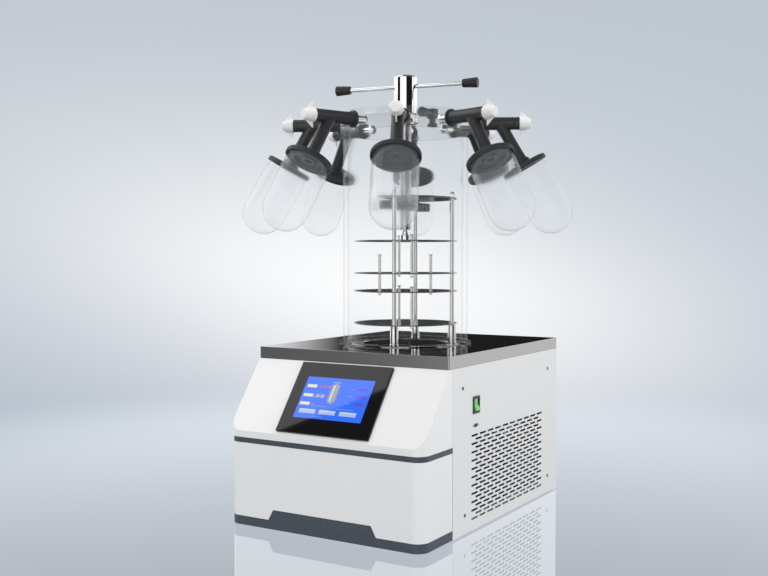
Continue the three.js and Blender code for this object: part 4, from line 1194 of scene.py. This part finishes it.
def bellShape():
    low, radius, collar = -bell["along"], bell["radius"], bell["collar"]
    under = low - bell["roof"]
    points = [(5.0, low + bell["collarHeight"]), (collar - 0.6, low + bell["collarHeight"]),
              (collar, low + 0.6),
              (collar + 3, low - 0.4), (radius - 7, low - 1.2), (radius, low - 3.2), (radius, low - 8.0),
              (radius - 0.7, low - 8.5), (radius - 0.7, low - 9.4), (radius, low - 9.9),
              (radius, low - bell["height"]),
              (radius - bell["wall"], low - bell["height"]), (radius - bell["wall"], under), (37.0, under),
              (36.4, under - 7.5), (31.0, under - 9.0), (29.5, under - 3.0), (16.0, under - 2.0),
              (14.0, under - 6.0),
              (8.0, under - 6.5), (8.0, under), (5.0, under)]
    return turned(points, 72, True, [(1, 1.4, 3), (5, 2.2, 4), (10, 0.9, 2), (11, 0.7, 2), (14, 1.6, 3),
                                     (15, 1.2, 2),
                                     (18, 1.0, 2)])


def knobShape():
    start, length = knob["start"], knob["length"]
    middle = start + length / 2
    points = [(0, start - knob["stemDeep"] + 0.4), (knob["stem"], start - knob["stemDeep"] + 0.4),
              (knob["stem"], start),
              (knob["radius"], start), (knob["radius"], start + 2.2), (knob["shoulder"] + 0.3, middle),
              (knob["neck"] + 0.6, start + length), (0, start + length)]
    cap = turned(points, 48, rounds=[(6, 2.2, 4), (5, 3.5, 4), (3, 0.9, 2)])
    first, last, high = start + 0.6, start + knob["finLength"], knob["fin"] / 4
    fin = slab((first, -knob["finThick"] / 2, -2 * high), (last, knob["finThick"] / 2, 2 * high))
    for vert in fin.verts:
        vert.co.x = last if vert.co.x > middle - 2 else first + 1
        vert.co.z *= 0.4 if vert.co.x > middle - 2 else 0.99
    softened(fin, 0.9, 3, 30)
    return gathered([(cap, alongX), (fin, Matrix())])


def flaskShape():
    top = -flask["top"]
    neck, radius, wall = flask["neck"], flask["radius"], flask["wall"]
    bodyTop = top - flask["neckLength"] - flask["shoulder"]
    end = bodyTop - flask["straight"] - radius
    points = [(0, end), (radius, end), (radius, bodyTop), (neck, bodyTop + flask["shoulder"]), (neck, top),
              (neck - wall - 0.6, top), (neck - wall - 0.6, bodyTop + flask["shoulder"]),
              (radius - wall, bodyTop),
              (radius - wall, end + wall), (0, end + wall)]
    rounds = [(1, radius - 0.001, 22), (8, radius - wall - 0.001, 22), (2, 4, 4), (7, 4, 4), (3, 2, 3),
              (6, 2, 3),
              (4, 1.0, 3), (5, 1.0, 3)]
    return turned(points, 112, rounds=rounds)


def makePorts():
    shapes = {"valve": valveShapes(), "nut": nutShape(), "bell": bellShape(), "knob": knobShape(),
              "flask": flaskShape()}
    for i in range(ports["count"]):
        place, n = portPlace(i), i + 1
        valveBody, nut, knobCap = (moved(shapes[name].copy(), place) for name in ("valve", "nut", "knob"))
        rubber, glass = (moved(shapes[name].copy(), place @ legPlace) for name in ("bell", "flask"))
        piece(valveBody, f"valve_body_{n}", "valvePlastic", stands=[f"valve_{n}"])
        piece(nut, f"valve_nut_{n}", "pressChrome")
        piece(rubber, f"valve_bell_{n}", "bellRubber")
        piece(knobCap, f"knob_cap_{n}", "knobNylon", f"knob_{n}_body", [f"valve_knob_{n}"])
        piece(glass, f"flask_glass_{n}", "flaskGlass", stands=[f"flask_{n}"], sharpAt=60)
    for shape in shapes.values():
        shape.free()


# Vent valve on the lid
def makeVent():
    low, high = lowOf("vent_valve_body"), highOf("vent_valve_body")
    lid = highOf("manifold_head").z
    spot = Matrix.Translation((ventPivot.x, ventPivot.y, 0))
    turn = turnAbout("Z", math.degrees(math.atan2(ventWay.y, ventWay.x)))
    block = slab((-vent["half"], -vent["half"], lid + 0.3), (vent["half"], vent["half"], high.z), 1.6, 3)
    stem = rod(vent["stem"], low.z + 1, lid + 1, 28, 0.5)
    nut = hexNut(vent["nut"], low.z, low.z + vent["nutThick"], 0.8)
    piece(gathered([(block, spot @ turn), (stem, spot), (nut, spot)]), "vent_body", "valvePlastic",
          stands=["vent_valve_body"])
    start, small, large = vent["half"] + 0.3, vent["knobSmall"], vent["knobLarge"]
    seat, end = start + 2.2, start + vent["knobLength"] - 0.4
    points = [(0, start - vent["shankLength"] + 1), (vent["shank"], start - vent["shankLength"] + 1),
              (vent["shank"], seat),
              (small, seat), (small + 0.3, seat + 4), (large, end - 2.5), (large - 0.6, end), (0, end)]
    grip = turned(points, 72, rounds=[(3, 1.0, 2), (6, 2.2, 4)])
    place = Matrix.Translation(ventPivot) @ ventWay.to_track_quat("Z", "Y").to_matrix().to_4x4()
    piece(moved(grip, place), "vent_grip", "gripBlack", "vent_knob_body", ["vent_valve_knob"])


makeChamber()
makeHead()
makePorts()
makeVent()
print("chamber and ports ready")


# Stoppering rack
rack = {"circle": 98.7, "radius": 4.5, "angles": (17.2, 107.2, 197.2), "sleeve": 8.35, "sleeveTop": 381.7,
        "nutLow": 643.8, "nut": 7.0, "nutHalf": 5.75, "dome": 5.6}
shelf = {"radius": 107.0, "thick": 2.0, "levels": (553.0, 486.0, 449.0, 382.0), "hole": 4.85, "rodHole": 3.4,
         "lip": 0.7}
hanger = {"circle": 55.0, "radius": 3.0, "head": 4.5, "headHeight": 2.5, "nut": 5.0, "nutHeight": 5.0,
          "tail": 3.0}
hangerSets = [(1, (44, 224), 567.0), (2, (134, 314), 526.0), (3, (44, 224), 460.0)]
crown = {"low": 640.5, "high": 643.5, "flat": 33.0, "openAt": 287.0, "bore": 13.4, "edge": 0.7}
bridge = {"length": 170.0, "width": 25.0, "low": 618.0, "high": 635.0, "boss": 20.0, "post": 7.0,
          "postAt": 45.0,
          "turn": 90.0, "edge": 1.8}


def makeColumns():
    base = highOf("cold_trap_well").z + 0.3
    for i, angle in enumerate(rack["angles"]):
        place = Matrix.Translation(compass(angle, rack["circle"]))
        radius, sleeve = rack["radius"], rack["sleeve"]
        post = rod(radius, base, rack["nutLow"] + 1, 32, 0.4)
        foot = turned([(radius - 0.5, base), (sleeve + 0.6, base), (sleeve + 0.6, base + 4),
                       (sleeve, base + 4.8),
                       (sleeve, rack["sleeveTop"] - 3), (sleeve - 0.8, rack["sleeveTop"] - 2.4),
                       (sleeve - 0.8, rack["sleeveTop"]), (radius - 0.5, rack["sleeveTop"])], 48, True,
                      [(6, 0.6, 2), (1, 0.7, 2), (2, 0.6, 2)])
        middle = rack["nutLow"] + rack["nutHalf"]
        top = middle + rack["nutHalf"]
        nut = hexNut(rack["nut"], rack["nutLow"], middle, 0.6)
        dome = turned([(0, middle - 0.5), (rack["dome"], middle - 0.5), (rack["dome"], top), (0, top)], 32,
                      rounds=[(2, rack["dome"] - 0.4, 6)])
        shapes = [(shape, place) for shape in (post, foot, nut, dome)]
        piece(gathered(shapes), f"rack_post_{i + 1}", "rackSteel",
              stands=[f"rack_column_{i + 1}"])


def hangerShape(place, low, top):
    middle = Matrix.Translation(place)
    head, nut, radius = hanger["head"], hanger["nut"], hanger["radius"]
    stud = rod(radius, low - hanger["nutHeight"] - hanger["tail"], top - 1, 20, 0.5)
    cap = rod(head, top - hanger["headHeight"], top, 24, 0.6)
    under = hexNut(nut, low - hanger["nutHeight"], low + 0.2, 0.5)
    return [(stud, middle), (cap, middle), (under, middle)]


def makeShelves():
    for i, level in enumerate(shelf["levels"]):
        top = level + shelf["thick"]
        plate = turned([(0, level), (shelf["radius"], level), (shelf["radius"], top), (0, top)], 128,
                       rounds=[(1, shelf["lip"], 3), (2, shelf["lip"], 3)])
        holes = [(shelf["hole"], compass(angle, rack["circle"])) for angle in rack["angles"]]
        for owner, angles, _ in hangerSets:
            if owner == i + 1:
                holes += [(shelf["rodHole"], compass(angle, hanger["circle"])) for angle in angles]
        tools = [moved(rod(radius, level - 3, top + 3, 32), Matrix.Translation(spot)) for radius,
                 spot in holes]
        body = {0: "press_plate", 1: "shelf_2_body", 2: "shelf_3_body"}.get(i, "root")
        piece(cutAway(plate, *tools), f"shelf_plate_{i + 1}", "shelfSteel", body,
              [f"shelf_{i + 1}"])
        rods = [part for owner, angles, rodTop in hangerSets if owner == i for angle in angles
                for part in hangerShape(compass(angle, hanger["circle"]), level, rodTop)]
        if rods:
            piece(gathered(rods), f"shelf_hangers_{i + 1}", "rackSteel", body)


def makeCrown():
    low, high = crown["low"], crown["high"]
    plate = turned([(0, low), (shelf["radius"], low), (shelf["radius"], high), (0, high)], 128,
                   rounds=[(1, crown["edge"], 3), (2, crown["edge"], 3)])
    away = slab((crown["flat"], -200, low - 5), (400, 200, high + 5))
    direction = compass(crown["openAt"], 1)
    away.transform(turnAbout("Z", math.degrees(math.atan2(direction.y, direction.x))))
    tools = [away, rod(crown["bore"], low - 5, high + 5, 48)]
    for angle in rack["angles"]:
        tool = rod(rack["radius"] + 0.35, low - 5, high + 5, 32)
        tools.append(moved(tool, Matrix.Translation(compass(angle, rack["circle"]))))
    piece(cutAway(plate, *tools), "crown_plate", "shelfSteel", stands=["rack_top_plate"])

    low, high = bridge["low"], bridge["high"]
    beam = slab((-bridge["length"] / 2, -bridge["width"] / 2, low),
                (bridge["length"] / 2, bridge["width"] / 2, high))
    beam = softened(beam, bridge["edge"], 3)
    boss = rod(bridge["boss"], low + 0.05, high - 0.05, 64, 1.4)
    bore = [rod(crown["bore"], low - 5, high + 5, 48) for _ in range(2)]
    posts = [rod(bridge["post"], high - 1, crown["low"] - 0.3, 32, 0.5) for _ in range(2)]
    turn = turnAbout("Z", bridge["turn"])
    parts = [(cutAway(beam, bore[0]), turn), (cutAway(boss, bore[1]), turn)]
    parts += [(post, turn @ Matrix.Translation((side * bridge["postAt"], 0, 0))) for post,
              side in zip(posts, (-1, 1))]
    piece(gathered(parts), "bridge_bar", "bridgeBlack", stands=["rack_bridge"])


# Press
press = {"footRadius": 11.5, "footHigh": 566.7, "boss": 8.0, "bossHigh": 572.7, "tip": 5.2, "shoulder": 578.0,
         "crest": 12.95, "core": 10.9, "pitch": 4.0, "threadTop": 812.0, "steps": 32, "hub": 24.0,
         "hubRound": 5.0,
         "barLevel": 873.9, "bar": 4.2, "barHole": 4.5, "barLength": 312.0, "angle": 10.0}
grip = {"length": 32.0, "inner": 8.5, "outer": 10.5}
gland = {"outer": 19.0, "flange": 27.0, "low": 792.3, "flangeLow": 798.3, "flangeHigh": 806.3, "high": 816.3,
         "bore": 13.35}


def threadShape(low, high):
    pitch, steps = press["pitch"], press["steps"]
    turns = int((high - low) / pitch)
    mesh = wire([(press["core"] - 0.4, -1.75), (press["crest"], -0.42), (press["crest"], 0.42),
                 (press["core"] - 0.4, 1.75)], True)
    bmesh.ops.translate(mesh, vec=(0, 0, low + 1.8), verts=mesh.verts)
    bmesh.ops.spin(mesh, geom=mesh.verts[:] + mesh.edges[:], cent=(0, 0, 0), axis=(0, 0, 1),
                   angle=2 * math.pi * turns,
                   steps=steps * turns, dvec=(0, 0, pitch / steps))
    bmesh.ops.holes_fill(mesh, edges=[e for e in mesh.edges if e.is_boundary], sides=4)
    return mesh


def makePress():
    floor = shelf["levels"][0] + shelf["thick"] + 0.3
    foot = turned([(0, floor), (press["footRadius"], floor), (press["footRadius"], press["footHigh"]),
                   (press["boss"], press["footHigh"] + 0.2), (press["boss"], press["bossHigh"]),
                   (press["tip"] + 0.3, press["bossHigh"]), (press["tip"] + 0.3, press["bossHigh"] - 8),
                   (0, press["bossHigh"] - 8)], 48, rounds=[(1, 0.6, 2), (2, 1.2, 3), (4, 0.7, 2)])
    piece(foot, "press_pad", "pressChrome", "press_plate", ["press_foot"])

    hubLow, top = highOf("manifold_head").z + 0.3, highOf("press_screw").z
    tipLow = press["bossHigh"] - 7.5
    hub = turned([(0, hubLow - 4), (press["crest"], hubLow - 4), (press["crest"], hubLow),
                  (press["hub"], hubLow),
                  (press["hub"], top), (0, top)], 96, rounds=[(4, press["hubRound"], 6), (3, 1.0, 3)])
    level = Matrix.Translation((0, 0, press["barLevel"])) @ turnAbout("Z", press["angle"])
    hole = moved(rod(press["barHole"], -60, 60, 32), level @ alongX)
    spindle = turned([(0, tipLow), (press["tip"], tipLow), (press["tip"], press["shoulder"]),
                      (press["crest"], press["shoulder"]), (press["crest"], press["shoulder"] + 4),
                      (press["core"], press["shoulder"] + 5), (press["core"], hubLow - 3), (0, hubLow - 3)],
                     48,
                     rounds=[(1, 1.2, 3), (3, 0.8, 2)])
    piece(cutAway(hub, hole), "press_hub", "pressChrome", "press_handle", ["press_screw"])
    piece(gathered([(spindle, Matrix()), (threadShape(press["shoulder"] + 4, press["threadTop"]), Matrix())]),
          "press_thread", "threadSteel", "press_handle", even=False)

    end = press["barLength"] / 2
    start = end - grip["length"]
    bar = rod(press["bar"], -start - 6, start + 6, 28, 0.5)
    piece(moved(bar, level @ alongX), "press_rod", "pressChrome", "press_handle",
          ["press_bar"])
    ends = []
    for turn in (0, 180):
        shape = turned([(0, start), (grip["inner"], start), (grip["outer"], end), (0, end)], 48,
                       rounds=[(1, 1.2, 3), (2, 1.6, 4)])
        ends.append((shape, level @ turnAbout("Z", turn) @ alongX))
    piece(gathered(ends), "press_grips", "gripBlack", "press_handle")

    points = [(gland["bore"], gland["low"]), (gland["outer"], gland["low"]),
              (gland["outer"], gland["flangeLow"]),
              (gland["flange"], gland["flangeLow"]), (gland["flange"], gland["flangeHigh"]),
              (gland["outer"], gland["flangeHigh"]), (gland["outer"], gland["high"]),
              (gland["bore"], gland["high"])]
    collar = turned(points, 64, True, [(1, 1.0, 2), (3, 1.0, 2), (4, 0.8, 2), (6, 0.6, 2)])
    flange, low = gland["flange"], gland["flangeLow"]
    groove = ringOf(flange - 0.7, flange + 2, low + 3.4, low + 4.6, 64)
    piece(cutAway(collar, groove), "gland_collar", "pressChrome", stands=["screw_gland"])
    outer, low = gland["outer"], gland["low"]
    washer = ringOf(outer + 0.05, outer + 2.2, low + 1.2, low + 3.2, 64, 0.7)
    piece(washer, "gland_washer", "rubberSeal")


makeColumns()
makeShelves()
makeCrown()
makePress()
print("rack and press ready")
